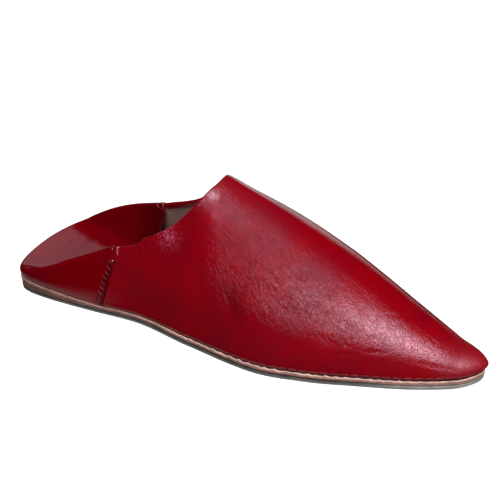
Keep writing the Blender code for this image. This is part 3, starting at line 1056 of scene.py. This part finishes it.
def mark_vamp(mesh):
    """Flex along the sheen, painted glints in a patch beside the collar, painted shade along the foot of the
    upper, in a dent and near the collar, and a dull toe.
    """
    s, rise, side = mesh_places(mesh)
    near = side > 0
    q = np.clip(rise / by_station(lambda t: max(arch_height(t), 1e-3), s), 0, 1)
    flex = passing(s, 0.498, 0.010) * (1 - 0.74 * passing(s, 0.77, 0.03))
    flex *= bell(q, 0.67, 0.25, 4) * (0.6 + 0.4 * near)
    flex += 0.3 * bell(s, 0.484, 0.014) * bell(q, 0.93, 0.06, 4)
    # Painted highlight: pink dashes in this patch stand for glints of light on the puckered leather
    glint_patch = bell(s, GLINT_PATCH[0], GLINT_PATCH[2]) * bell(rise, GLINT_PATCH[1], GLINT_PATCH[3]) * near
    # Painted shade, carried by the foot attribute: a dark line along the foot of the upper, a dark trough in
    # a dent on the near side and a darker band near the collar
    foot = np.clip(2.6 - rise / 0.0009, 0, 1) * np.clip((s - 0.28) / 0.1, 0, 1)
    foot += 0.34 * bell(s + 0.17 * (q - 0.42), 0.558, 0.013) * bell(q, 0.42, 0.10) * near
    foot += 0.24 * bell(s, 0.435, 0.028) * np.clip((q - 0.5) / 0.3, 0, 1)
    marked(mesh, flex=flex + 0.6 * glint_patch + 0.02, rub=glint_patch, foot=foot, dull=passing(s, 0.932, 0.014))


def plain_finish(name, colour, share, roughness, height):
    """Dull finish: patches between a colour and its share, with fibres as shade and bump."""
    material, tree, shader, place = shader_of(name, roughness)
    patches, fibres = scuffed(tree, place)
    tone = mixed(tree, patches, tuple(colour), dim(colour, share))
    streak = maths(tree, "MULTIPLY", ramp(tree, fibres, 0.38, 0.62), 0.55)
    wire(tree, mixed(tree, streak, tone, dim(colour, 0.45)), shader.inputs["Base Color"])
    bump(tree, shader, maths(tree, "MULTIPLY", fibres, height))
    return material


def tint(name, about, default):
    """Colour setting."""
    return bpy.props.FloatVectorProperty(name=name, description=about, default=default, subtype="COLOR",
                                         size=3, min=0.0, max=1.0)


def factor(name, about, default, high=1.0):
    """Setting between zero and its highest value."""
    return bpy.props.FloatProperty(name=name, description=about, default=default, min=0.0, max=high)


def size(name, about, default, low=0.0, high=0.01):
    """Length setting, in metres."""
    return bpy.props.FloatProperty(name=name, description=about, default=default, min=low, max=high,
                                   precision=6, unit="LENGTH")


def power(name, about, default):
    """Setting for the power of a lamp."""
    return bpy.props.FloatProperty(name=name, description=about, default=default, min=0.0, unit="POWER")


class SlipperLeather(bpy.types.PropertyGroup):
    colour: tint("Leather colour", "Colour of the red leather in light parts", (0.264, 0.000, 0.004))
    shade: tint("Leather shade", "Colour of the red leather in its darker clouds", (0.208, 0.000, 0.006))
    lining: tint("Lining colour", "Colour of the lining and the insole", (0.560, 0.345, 0.310))
    cut: tint("Cut edge", "Colour of the cut edge of the turned hem", (0.560, 0.330, 0.300))
    # Colour of the painted highlight: glints beside the collar
    rubbed: tint("Glinting leather", "Colour of the rubbed dashes beside the collar", (0.500, 0.070, 0.140))
    gleam: tint("Gleam", "Tint of the light that the leather mirrors", (1.000, 0.660, 0.870))
    roughness: factor("Leather roughness", "Roughness of the dressed leather", 0.19)
    specular: factor("Gleam strength", "Specular level of the leather", 0.78)
    coat: factor("Polish", "Weight of the polish over the leather", 0.16)
    coat_roughness: factor("Polish roughness", "Roughness of the polish", 0.16)
    pebble: size("Grain height", "Height of the fine grain", 0.00007)
    wrinkle: size("Wrinkle height", "Height of the fine wrinkles of the flexed parts", 0.00022)
    crease_depth: factor("Crease depth", "Share of the charted depth of the creases", 1.0, 3.0)
    hem_stitch: size("Hem width", "Distance from the collar to its row of puckers", 0.0046, 0.001)
    pucker_spacing: size("Pucker spacing", "Distance between the puckers of the hem", 0.0034, 0.001)
    pucker_depth: size("Pucker depth", "Depth of the puckers of the hem", 0.0009, 0.0, 0.001)


class SlipperSeams(bpy.types.PropertyGroup):
    whip: tint("Whip thread", "Colour of the whip stitches", (0.340, 0.040, 0.050))
    cream: tint("Light thread", "Colour of the thread loops at the collar", (0.780, 0.470, 0.430))
    whip_spacing: size("Whip spacing", "Distance between whip stitches", 0.0033, 0.001)
    sole_spacing: size("Sole stitch spacing", "Distance between sole stitches", 0.0052, 0.001, 0.02)
    thread: size("Thread radius", "Radius of the sewing thread", 0.00030, 0.0001, 0.002)


class SlipperSole(bpy.types.PropertyGroup):
    lip: tint("Lip", "Colour of the raised lip of the raw edge", (0.860, 0.520, 0.450))
    tan: tint("Raw edge", "Colour of the raw leather edge", (0.360, 0.190, 0.150))
    brown: tint("Lift", "Colour of the stacked heel lift", (0.240, 0.100, 0.074))
    grey: tint("Outsole", "Colour of the outsole", (0.215, 0.205, 0.195))
    scallop: size("Scallops", "Height of the waves that the stitches pull", 0.00125, 0.0, 0.003)


class SlipperStage(bpy.types.PropertyGroup):
    key: power("Key lamp", "Power of the large soft lamp", 5.8)
    core: power("Key core", "Power of the brighter middle of the large lamp", 2.4)
    tail: power("Key tail", "Power of the dim upper part of the large lamp", 0.75)
    spot: power("Spot lamp", "Power of the small lamp over the throat", 1.2)
    fill: power("Fill lamp", "Power of the soft lamp that evens the shadows", 35.0)
    flap_screen: power("Flap screen", "Power of the screen mirrored in the heel flap", 1.0)
    rim_screen: power("Rim screen", "Power of the screen mirrored along the ridge", 2.2)
    surroundings: factor("Surroundings", "Strength of the even light from all round", 0.06)
    floor: tint("Floor colour", "Colour of the plain floor", (0.900, 0.900, 0.900))


class SLIPPER_OT_vamp(bpy.types.Operator):
    """Make the vamp from one turned skin of red leather"""

    bl_idname = "slipper.vamp"
    bl_label = "Vamp leather"

    def execute(self, context):
        settings = context.scene.slipper_leather
        grid, cells, foot, cut = vamp_grid(settings)
        mesh = sheet("vamp_leather", cells, grid, foot, 0.0, -SKIN, cut)
        mark_vamp(mesh)
        material = red_leather("vamp_red", settings, settings.pebble, settings.wrinkle)
        edge = plain_finish("cut_edge", settings.cut, 0.8, 0.6, 0.00002)
        finish_piece(new_object("vamp_leather", mesh, [material, edge]), "vamp", slot="vamp")
        return {"FINISHED"}


class SLIPPER_OT_lining(bpy.types.Operator):
    """Make the lining of the vamp and give the insole its finish"""

    bl_idname = "slipper.lining"
    bl_label = "Lining and insole"

    def execute(self, context):
        colour = context.scene.slipper_leather.lining
        grid, cells, foot = lining_grid()
        mesh = sheet("vamp_lining", cells, grid, foot, -SKIN - LINING_GAP, -SKIN - LINING)
        material = plain_finish("lining_beige", colour, 0.7, 0.62, 0.00006)
        finish_piece(new_object("vamp_lining", mesh, [material]))
        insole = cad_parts["insole"]
        insole.data.materials.clear()
        insole.data.materials.append(plain_finish("insole_beige", colour, 0.7, 0.58, 0.00005))
        return {"FINISHED"}


class SLIPPER_OT_quarter(bpy.types.Operator):
    """Make the heel quarter with its fold and flap"""

    bl_idname = "slipper.quarter"
    bl_label = "Heel quarter"

    def execute(self, context):
        settings = context.scene.slipper_leather
        grid, cells, foot = quarter_grid(settings)
        mesh = sheet("quarter_leather", cells, grid, foot, WALL / 2, -WALL / 2)
        s, rise, side = mesh_places(mesh)
        inside = np.clip((0.031 - np.abs(side)) / 0.004, 0, 1) * (rise > 0.002)
        # Painted shade inside the flap towards its front
        marked(mesh, foot=0.42 * inside * bell(s, 0.27, 0.06))
        # Painted shade: the heel quarter wears the red leather dimmed to 0.74
        material = red_leather("quarter_red", settings, settings.pebble * 0.08, 0.0, 0.74, 0.38)
        finish_piece(new_object("quarter_leather", mesh, [material]), "heel_quarter", slot="heel_quarter")
        return {"FINISHED"}


def seam_band(name, side, materials):
    """Rounded band over the side seam; dark up to its knot and plain leather above."""
    grid = {}
    cells = []
    dark = []
    rows = spaced(BAND_STEPS, 0.0, 1.0, 1.2)
    wide = STRIP + 2 * SEAM_GAP
    shifts = [wide * (k / BAND_COLUMNS - 0.5) for k in range(BAND_COLUMNS + 1)]
    for col, shift in enumerate(shifts):
        for row, share in enumerate(rows):
            place = upper_point(seam_station(side, share, shift), side, share * seam_rise(side))
            across = 2 * shift / wide
            fade = 1 - smooth((share - 0.50) / 0.35)
            raised = 0.00006 + 0.00045 * (1 - across * across) * fade
            grooves = 0.00014 * math.sin(share * 52 + across * 1.4) * smooth((share - 0.25) / 0.15)
            place.y += side * (raised + grooves * (1 - smooth((share - 0.76) / 0.05)))
            grid[col, row] = place
            reach = 1.05 - 0.42 * smooth((share - 0.15) / 0.6)
            tone = 0.62 if abs(across) < reach - 0.2 else 0.95
            dark.append(tone * (abs(across) < reach) * (1 - smooth((share - KNOT) / 0.025)))
    for col in range(BAND_COLUMNS):
        for row in range(BAND_STEPS):
            cell = [(col, row), (col + 1, row), (col + 1, row + 1), (col, row + 1)]
            cells.append(cell if side == NEAR else cell[::-1])
    foot = {(col, 0) for col in range(len(shifts))}
    mesh = sheet(name, cells, grid, foot, 0.0, -WALL)
    marked(mesh, foot=np.array(dark + [0.0] * len(dark)))
    return new_object(name, mesh, materials)


class SLIPPER_OT_seams(bpy.types.Operator):
    """Make the bands, whip stitches and thread loops of both side seams"""

    bl_idname = "slipper.seams"
    bl_label = "Side seams"

    def execute(self, context):
        settings = context.scene.slipper_leather
        seams = context.scene.slipper_seams
        band = red_leather("seam_red", settings, settings.pebble * 0.3, 0.0, 0.92)
        whip = plain_finish("whip_thread", seams.whip, 0.6, 0.6, 0.0)
        cream = plain_finish("light_thread", seams.cream, 0.8, 0.6, 0.0)
        loops = []
        for side, word in ((NEAR, "right"), (FAR, "left")):
            piece = seam_band("seam_band_" + word, side, [band])
            finish_piece(piece, "side_seam_" + word, slot="side_seam_" + word)
            normal = Vector((0, side * 0.95, 0.3)).normalized()
            line = []
            for share in spaced(30, 0.26, 0.78):
                s = seam_station(side, share, -STRIP * (0.52 - 0.30 * share))
                line.append(upper_point(s, side, share * seam_rise(side)) + normal * 0.00035)
            finish_piece(stitched("whip_stitches_" + word, line, [normal] * len(line), {
                "Spacing": seams.whip_spacing, "Stitch Length": 0.0029, "Thread Radius": seams.thread * 0.55,
                "Arch": 0.0003, "Turn": math.radians(113) * side, "Unevenness": 0.14, "Seed": 3,
                "Material": whip}))
            loops += self.loop(side, seams.thread)
        finish_piece(joined("seam_loops", loops, [cream]))
        return {"FINISHED"}

    def loop(self, side, radius):
        """Bar tack over the collar at the top of a side seam, and the knot below it."""
        top = seam_station(side, 1.0)
        tall = seam_rise(side)
        out = Vector((0, side, 0.12)).normalized()
        up = Vector((0, 0, 1))
        line = []
        for deep, lift in ((0.0042, -0.0002), (0.0030, 0.0002), (0.0010, 0.0003)):
            line.append(upper_point(top + 0.12 * deep / LENGTH, side, tall - deep) + out * lift)
        crown = upper_point(top, side, tall)
        for inward, lift in ((WALL * 0.5, 0.0005), (WALL + 0.0004, -0.0012), (WALL + 0.0002, -0.0034)):
            line.append(crown - out * inward + up * lift)
        at = KNOT + 0.01
        middle = upper_point(seam_station(side, at), side, tall * at) + out * 0.0002
        knot = [middle + up * 0.0004, middle + out * 0.0003, middle - up * 0.0004]
        return [tube(line, radius * 0.46), tube(knot, radius * 0.9)]


def sole_ring(stations):
    """Stations and sides round the whole sole, or round its heel."""
    return [(s, NEAR) for s in stations] + [(s, FAR) for s in reversed(stations[1:-1])]


FULL_SOLE = [(1 - math.cos(math.pi * t)) / 2 for t in spaced(SOLE_STEPS, 0.0, 1.0)]


def plate(name, rings, levels, materials):
    """Closed plate from rings stacked from its underside up; its flat faces wear the second material."""
    count = len(rings[0])
    points = [point for ring in rings for point in ring]
    faces = []
    for level in range(len(rings) - 1):
        for k in range(count):
            a = level * count + k
            b = level * count + (k + 1) % count
            faces.append((a, b, b + count, a + count))
    walls = len(faces)
    for level in (0, len(rings) - 1):
        for k in range(count // 2):
            cell = [k, k + 1, (count - k - 1) % count, (count - k) % count]
            cell = list(dict.fromkeys(level * count + i for i in cell))
            if len(cell) > 2:
                faces.append(cell)
    mesh = mesh_from(name, points, faces)
    for polygon in mesh.polygons[walls:]:
        polygon.use_smooth = False
        polygon.material_index = 1
    data = mesh.attributes.new("level", "FLOAT", "POINT")
    data.data.foreach_set("value", [level for level in levels for k in range(count)])
    return new_object(name, mesh, materials)


def layered(name, uneven, *bands):
    """Edge of a sole layer: bands of colour by level, for the heel, the front and, if given, the tip."""
    material, tree, shader, place = shader_of(name, 0.66, 0.3)
    patches, fibres = scuffed(tree, place)
    wander = maths(tree, "MULTIPLY", maths(tree, "SUBTRACT", fibres, 0.5), uneven)
    height = maths(tree, "ADD", attribute(tree, "level"), wander)
    tones = []
    for rows in bands:
        tone = rows[0][1]
        for start, colour in rows[1:]:
            tone = mixed(tree, ramp(tree, height, start - 0.05, start + 0.05), tone, colour)
        tones.append(tone)
    x = node(tree, "ShaderNodeSeparateXYZ", {0: place}).outputs["X"]
    tone = tones[0]
    for next_tone, (low, high) in zip(tones[1:], BAND_CHANGES):
        tone = mixed(tree, ramp(tree, x, low, high), tone, next_tone)
    dark = mixed(tree, 0.5, tone, (0.0, 0.0, 0.0))
    tone = mixed(tree, maths(tree, "MULTIPLY", patches, 0.6), tone, dark)
    wire(tree, tone, shader.inputs["Base Color"])
    bump(tree, shader, maths(tree, "MULTIPLY", fibres, 0.0006 * uneven))
    return material


class SLIPPER_OT_sole(bpy.types.Operator):
    """Make the waved raw edge, the stacked heel lift and the outsole"""

    bl_idname = "slipper.sole"
    bl_label = "Sole"

    def execute(self, context):
        sole = context.scene.slipper_sole
        lip, tan, brown, grey = (tuple(c) for c in (sole.lip, sole.tan, sole.brown, sole.grey))
        shadow = dim(grey, 0.06)
        top = plain_finish("plate_top", tan, 0.7, 0.7, 0.00006)
        # Each band: the level at which it starts, and its colour
        edge = layered("raw_edge", 0.5,
                       ((0, brown), (0.30, tan), (0.46, brown), (0.64, shadow), (0.73, dim(lip, 0.55))),
                       ((0, shadow), (0.34, brown), (0.48, tan), (0.76, lip)),
                       ((0, brown), (0.16, tan), (0.78, lip)))
        self.edge(sole, context.scene.slipper_seams.sole_spacing, [edge, top])
        lift = layered("stacked_lift", 0.35,
                       ((0, shadow), (0.10, brown), (0.30, tan), (0.38, brown), (0.62, shadow),
                        (0.68, brown), (0.84, tan), (0.92, shadow)),
                       ((0, shadow), (0.15, brown), (0.9, shadow)))
        self.lift([lift, top])
        rim = layered("outsole_edge", 0.06,
                      ((0, shadow), (0.34, grey), (0.72, shadow)),
                      ((0, grey), (0.60, dim(grey, 0.6)), (0.90, shadow)),
                      ((0, grey), (0.45, dim(grey, 1.5))))
        self.outsole([rim, self.tread(grey)])
        return {"FINISHED"}

    def rings(self, ring, profile, low, high):
        """Rings of an edge from insets and shares of its height."""
        return [[Vector((along(s, draw), side * half_width(s, side, draw),
                         low(s) + share * (high(s) - low(s)))) for s, side in ring]
                for draw, share in profile]

    def outsole(self, materials):
        """Outsole plate with a softened edge."""
        profile = ((0.0006, 0.0), (0.0002, 0.12), (0.0, 0.3), (0.0, 0.6), (0.0, 0.85), (0.0002, 1.0))
        rings = self.rings(sole_ring(FULL_SOLE), profile, under, lambda s: under(s) + OUTSOLE)
        piece = plate("outsole_plate", rings, (0.0, 0.15, 0.3, 0.6, 0.85, 1.0), materials)
        finish_piece(piece, "outsole", slot="outsole")

    def lift(self, materials):
        """Wedge of three stacked leathers with grooves between them."""
        ring = sole_ring([LIFT_END * (1 - math.cos(math.pi / 2 * t)) for t in spaced(LIFT_STEPS, 0.0, 1.0)])
        groove = MARGIN + 0.0002
        profile = ((MARGIN, 0.0), (MARGIN, 0.28), (groove, 0.34), (MARGIN, 0.40), (MARGIN, 0.60),
                   (groove, 0.66), (MARGIN, 0.72), (MARGIN, 1.0))
        rings = self.rings(ring, profile, lambda s: under(s) + OUTSOLE + GAP, lambda s: lift_top(s) - GAP)
        piece = plate("lift_wedge", rings, [share for draw, share in profile], materials)
        finish_piece(piece, "heel_lift", slot="heel_lift")

    def edge(self, sole, spacing, materials):
        """Midsole plate whose raised lip is drawn into waves by the stitches."""
        ring = sole_ring(FULL_SOLE)
        waves = []
        way = 0.0
        last = None
        for s, side in ring:
            here = Vector((along(s), side * half_width(s, side), 0.0))
            way += (here - last).length if last else 0.0
            last = here
            front = smooth((s - 0.33) / 0.25) * (1 - 0.75 * smooth((s - 0.80) / 0.10))
            beat = (0.5 + 0.5 * math.sin(2 * math.pi * way / spacing + 0.6 * math.sin(way * 190))) ** 2.2
            ragged = 0.25 * math.sin(way * 2300) * math.sin(way * 633) + 0.15 * math.sin(way * 1370)
            wave = (0.10 + 0.90 * front) * (beat - 0.3) + (0.25 + 0.75 * front) * ragged
            waves.append(sole.scallop * wave)
        rings = []
        for draw, share, lip, strong, level in EDGE_PROFILE:
            line = []
            for (s, side), wave in zip(ring, waves):
                inset = draw - 0.25 * wave * strong
                raised = LIP * lip * (0.12 + 0.88 * smooth((s - 0.26) / 0.14))
                z = lift_top(s) + share * MIDSOLE + raised + wave * strong
                line.append(Vector((along(s, inset), side * half_width(s, side, inset), z)))
            rings.append(line)
        piece = plate("midsole_edge", rings, [row[4] for row in EDGE_PROFILE], materials)
        finish_piece(piece, "midsole", slot="midsole")

    def tread(self, grey):
        """Underside of the sole, worn in patches."""
        material, tree, shader, place = shader_of("outsole_tread", 0.6, 0.3)
        patches = maths(tree, "MULTIPLY", scuffed(tree, place)[0], 0.4)
        wear = ramp(tree, noise(tree, place, 22.0, 4.0, 0.6), 0.40, 0.62)
        tone = mixed(tree, patches, mixed(tree, wear, grey, dim(grey, 0.6)), dim(grey, 0.4))
        wire(tree, tone, shader.inputs["Base Color"])
        fine = noise(tree, stretched(tree, place, (1.0, 0.1, 0.0), 0.85), 900.0, 3.0, 0.6)
        bump(tree, shader, maths(tree, "MULTIPLY", fine, 0.00008))
        return material


class SLIPPER_OT_sole_stitches(bpy.types.Operator):
    """Sew the upper to the raw edge from the waist round the toe"""

    bl_idname = "slipper.sole_stitches"
    bl_label = "Sole stitches"

    def execute(self, context):
        seams = context.scene.slipper_seams
        line = []
        out = []
        stations = [0.42 + 0.57 * math.sin(math.pi / 2 * t) for t in spaced(160, 0.0, 1.0)]
        for s, side in [(s, NEAR) for s in stations] + [(s, FAR) for s in reversed(stations[:-1])]:
            low, high = upper_point(s, side, SEWN), upper_point(s, side, SEWN + 0.001)
            ahead = upper_point(min(s + 0.002, 0.999), side, SEWN) - low
            normal = (ahead.cross(high - low) * -side).normalized()
            line.append(low + normal * 0.00002)
            out.append(normal)
        finish_piece(stitched("sole_stitches", line, out, {
            "Spacing": seams.sole_spacing, "Stitch Length": 0.0042, "Thread Radius": seams.thread * 0.6,
            "Arch": 0.0001, "Turn": 0.0, "Unevenness": 0.04, "Seed": 11,
            "Material": bpy.data.materials["whip_thread"]}))
        return {"FINISHED"}


class SLIPPER_OT_stage(bpy.types.Operator):
    """Set the floor, the soft lights and the camera"""

    bl_idname = "slipper.stage"
    bl_label = "Stage"

    def execute(self, context):
        stage = context.scene.slipper_stage
        self.floor(tuple(stage.floor))
        for row in (
                # name, azimuth and elevation, distance, height of its level, width and height, power
                ("key_lamp", (-44, 31), 1.10, 0.03, (0.76, 0.64), stage.key),
                ("core_lamp", (-40, 31), 1.05, 0.03, (0.30, 0.30), stage.core),
                ("tail_lamp", (-50, 55), 1.10, 0.03, (0.50, 0.50), stage.tail),
                ("spot_lamp", (-104, 67), 1.00, 0.03, (0.08, 0.09), stage.spot),
                ("fill_lamp", (-70, 84), 2.40, 0.03, (2.0, 2.0), stage.fill),
                ("flap_screen", (132, 0), 1.60, 0.965, (0.75, 0.83), stage.flap_screen),
                ("rim_screen", (99, 0), 1.60, 0.81, (0.90, 1.58), stage.rim_screen),
                ("low_screen", (99, 0), 1.60, 0.31, (0.90, 0.58), stage.rim_screen * 0.5)):
            self.lamp(*row)
        self.world(stage.surroundings)
        self.camera()
        context.scene.view_settings.view_transform = "Standard"
        return {"FINISHED"}

    def lamp(self, name, direction, distance, level, extent, watts):
        """Soft rectangular lamp that faces the shoe; the fill lamp isn't mirrored in the leather."""
        a, e = (math.radians(angle) for angle in direction)
        away = Vector((math.cos(a) * math.cos(e), math.sin(a) * math.cos(e), math.sin(e)))
        light = bpy.data.lights.new(name, "AREA")
        light.shape = "RECTANGLE"
        light.size, light.size_y = extent
        light.energy = watts
        holder = bpy.data.objects.new(name, light)
        holder.visible_glossy = name != "fill_lamp"
        holder.visible_camera = False
        bpy.context.scene.collection.objects.link(holder)
        turn = away.to_track_quat("Z", "Y").to_matrix().to_4x4()
        holder.matrix_world = Matrix.Translation(away * distance + Vector((0, 0, level))) @ turn

    def floor(self, colour):
        """Large pale floor that mirrors little of itself in the leather."""
        mesh = bpy.data.meshes.new("floor")
        mesh.from_pydata([(x * 4.0, y * 4.0, 0) for x, y in ((-1, -1), (1, -1), (1, 1), (-1, 1))],
                         [], [(0, 1, 2, 3)])
        material = bpy.data.materials.new("pale_floor")
        material.use_nodes = True
        tree = material.node_tree
        tree.nodes.clear()
        path = node(tree, "ShaderNodeLightPath").outputs
        tone = mixed(tree, path["Is Camera Ray"], dim(colour, 0.36), colour)
        tone = mixed(tree, path["Is Glossy Ray"], tone, (0.0, 0.0, 0.0))
        place = object_place(tree)
        split = node(tree, "ShaderNodeSeparateXYZ", {0: place}).outputs
        oval = vector_maths(tree, "MULTIPLY", place, (1 / (LENGTH * 0.56), 1 / (BALL_WIDTH * 0.62), 0.0))
        reach = node(tree, "ShaderNodeVectorMath", {0: oval}, operation="LENGTH").outputs["Value"]
        close = maths(tree, "MULTIPLY", ramp(tree, reach, 0.95, 1.3, 0.30, 0.0),
                      ramp(tree, split["X"], -0.090, -0.064, 1.0, 0.0))
        behind = ramp(tree, split["Y"], 0.25, 0.50, 0.0, 1.0)
        mirrored = maths(tree, "MULTIPLY", maths(tree, "ADD", close, behind), path["Is Glossy Ray"])
        seen = maths(tree, "MULTIPLY", path["Is Camera Ray"], 0.55)
        dull = node(tree, "ShaderNodeBsdfDiffuse", {"Color": tone})
        glow = node(tree, "ShaderNodeEmission", {"Color": (1.0, 1.0, 1.0, 1.0),
                                                 "Strength": maths(tree, "ADD", mirrored, seen)})
        add = node(tree, "ShaderNodeAddShader", {0: dull.outputs[0], 1: glow.outputs[0]})
        node(tree, "ShaderNodeOutputMaterial", {"Surface": add.outputs[0]})
        new_object("floor", mesh, [material])

    def world(self, strength):
        """Even pale surroundings, which the leather does not mirror."""
        world = bpy.data.worlds.new("studio")
        bpy.context.scene.world = world
        world.use_nodes = True
        tree = world.node_tree
        back = tree.nodes["Background"]
        back.inputs["Color"].default_value = (1.0, 1.0, 1.0, 1.0)
        path = node(tree, "ShaderNodeLightPath").outputs
        wire(tree, maths(tree, "MAXIMUM", path["Is Camera Ray"], strength), back.inputs["Strength"])
        world.cycles_visibility.glossy = False

    def camera(self):
        """Camera at the photographed angle."""
        right = Vector((math.cos(CAMERA_TURN), math.sin(CAMERA_TURN), 0.0))
        up = Vector((-math.sin(CAMERA_TURN) * math.sin(CAMERA_TILT),
                     math.cos(CAMERA_TURN) * math.sin(CAMERA_TILT), math.cos(CAMERA_TILT)))
        data = bpy.data.cameras.new("camera")
        data.lens = CAMERA_LENS
        data.sensor_width = 36.0
        data.clip_start = 0.01
        data.clip_end = 50.0
        holder = bpy.data.objects.new("camera", data)
        bpy.context.scene.collection.objects.link(holder)
        turn = Matrix((right, up, right.cross(up))).transposed().to_4x4()
        holder.matrix_world = Matrix.Translation(CAMERA_PLACE) @ turn
        bpy.context.scene.camera = holder


class SLIPPER_PT_panel(bpy.types.Panel):
    """Sidebar panel of the slipper"""

    bl_idname = "SLIPPER_PT_panel"
    bl_label = "Slipper"
    bl_space_type = "VIEW_3D"
    bl_region_type = "UI"
    bl_category = "Slipper"

    def draw(self, context):
        for group in GROUPS:
            box = self.layout.box()
            for field in group.__annotations__:
                box.prop(getattr(context.scene, group_name(group)), field)
        for operator in OPERATORS:
            self.layout.operator(operator.bl_idname)


GROUPS = (SlipperLeather, SlipperSeams, SlipperSole, SlipperStage)
OPERATORS = (SLIPPER_OT_vamp, SLIPPER_OT_lining, SLIPPER_OT_quarter, SLIPPER_OT_seams, SLIPPER_OT_sole,
             SLIPPER_OT_sole_stitches, SLIPPER_OT_stage)


def group_name(group):
    """Name under which a scene holds a property group."""
    return "slipper_" + group.__name__.removeprefix("Slipper").lower()


def register():
    for cls in (*GROUPS, *OPERATORS, SLIPPER_PT_panel):
        bpy.utils.register_class(cls)
    for group in GROUPS:
        setattr(bpy.types.Scene, group_name(group), bpy.props.PointerProperty(type=group))


def unregister():
    for group in GROUPS:
        delattr(bpy.types.Scene, group_name(group))
    for cls in reversed((*GROUPS, *OPERATORS, SLIPPER_PT_panel)):
        bpy.utils.unregister_class(cls)


def main():
    """Make every piece."""
    register()
    bpy.ops.slipper.vamp()
    bpy.ops.slipper.lining()
    bpy.ops.slipper.quarter()
    bpy.ops.slipper.seams()
    bpy.ops.slipper.sole()
    bpy.ops.slipper.sole_stitches()
    bpy.ops.slipper.stage()
    bpy.context.view_layer.update()


if __name__ == "__main__":
    main()
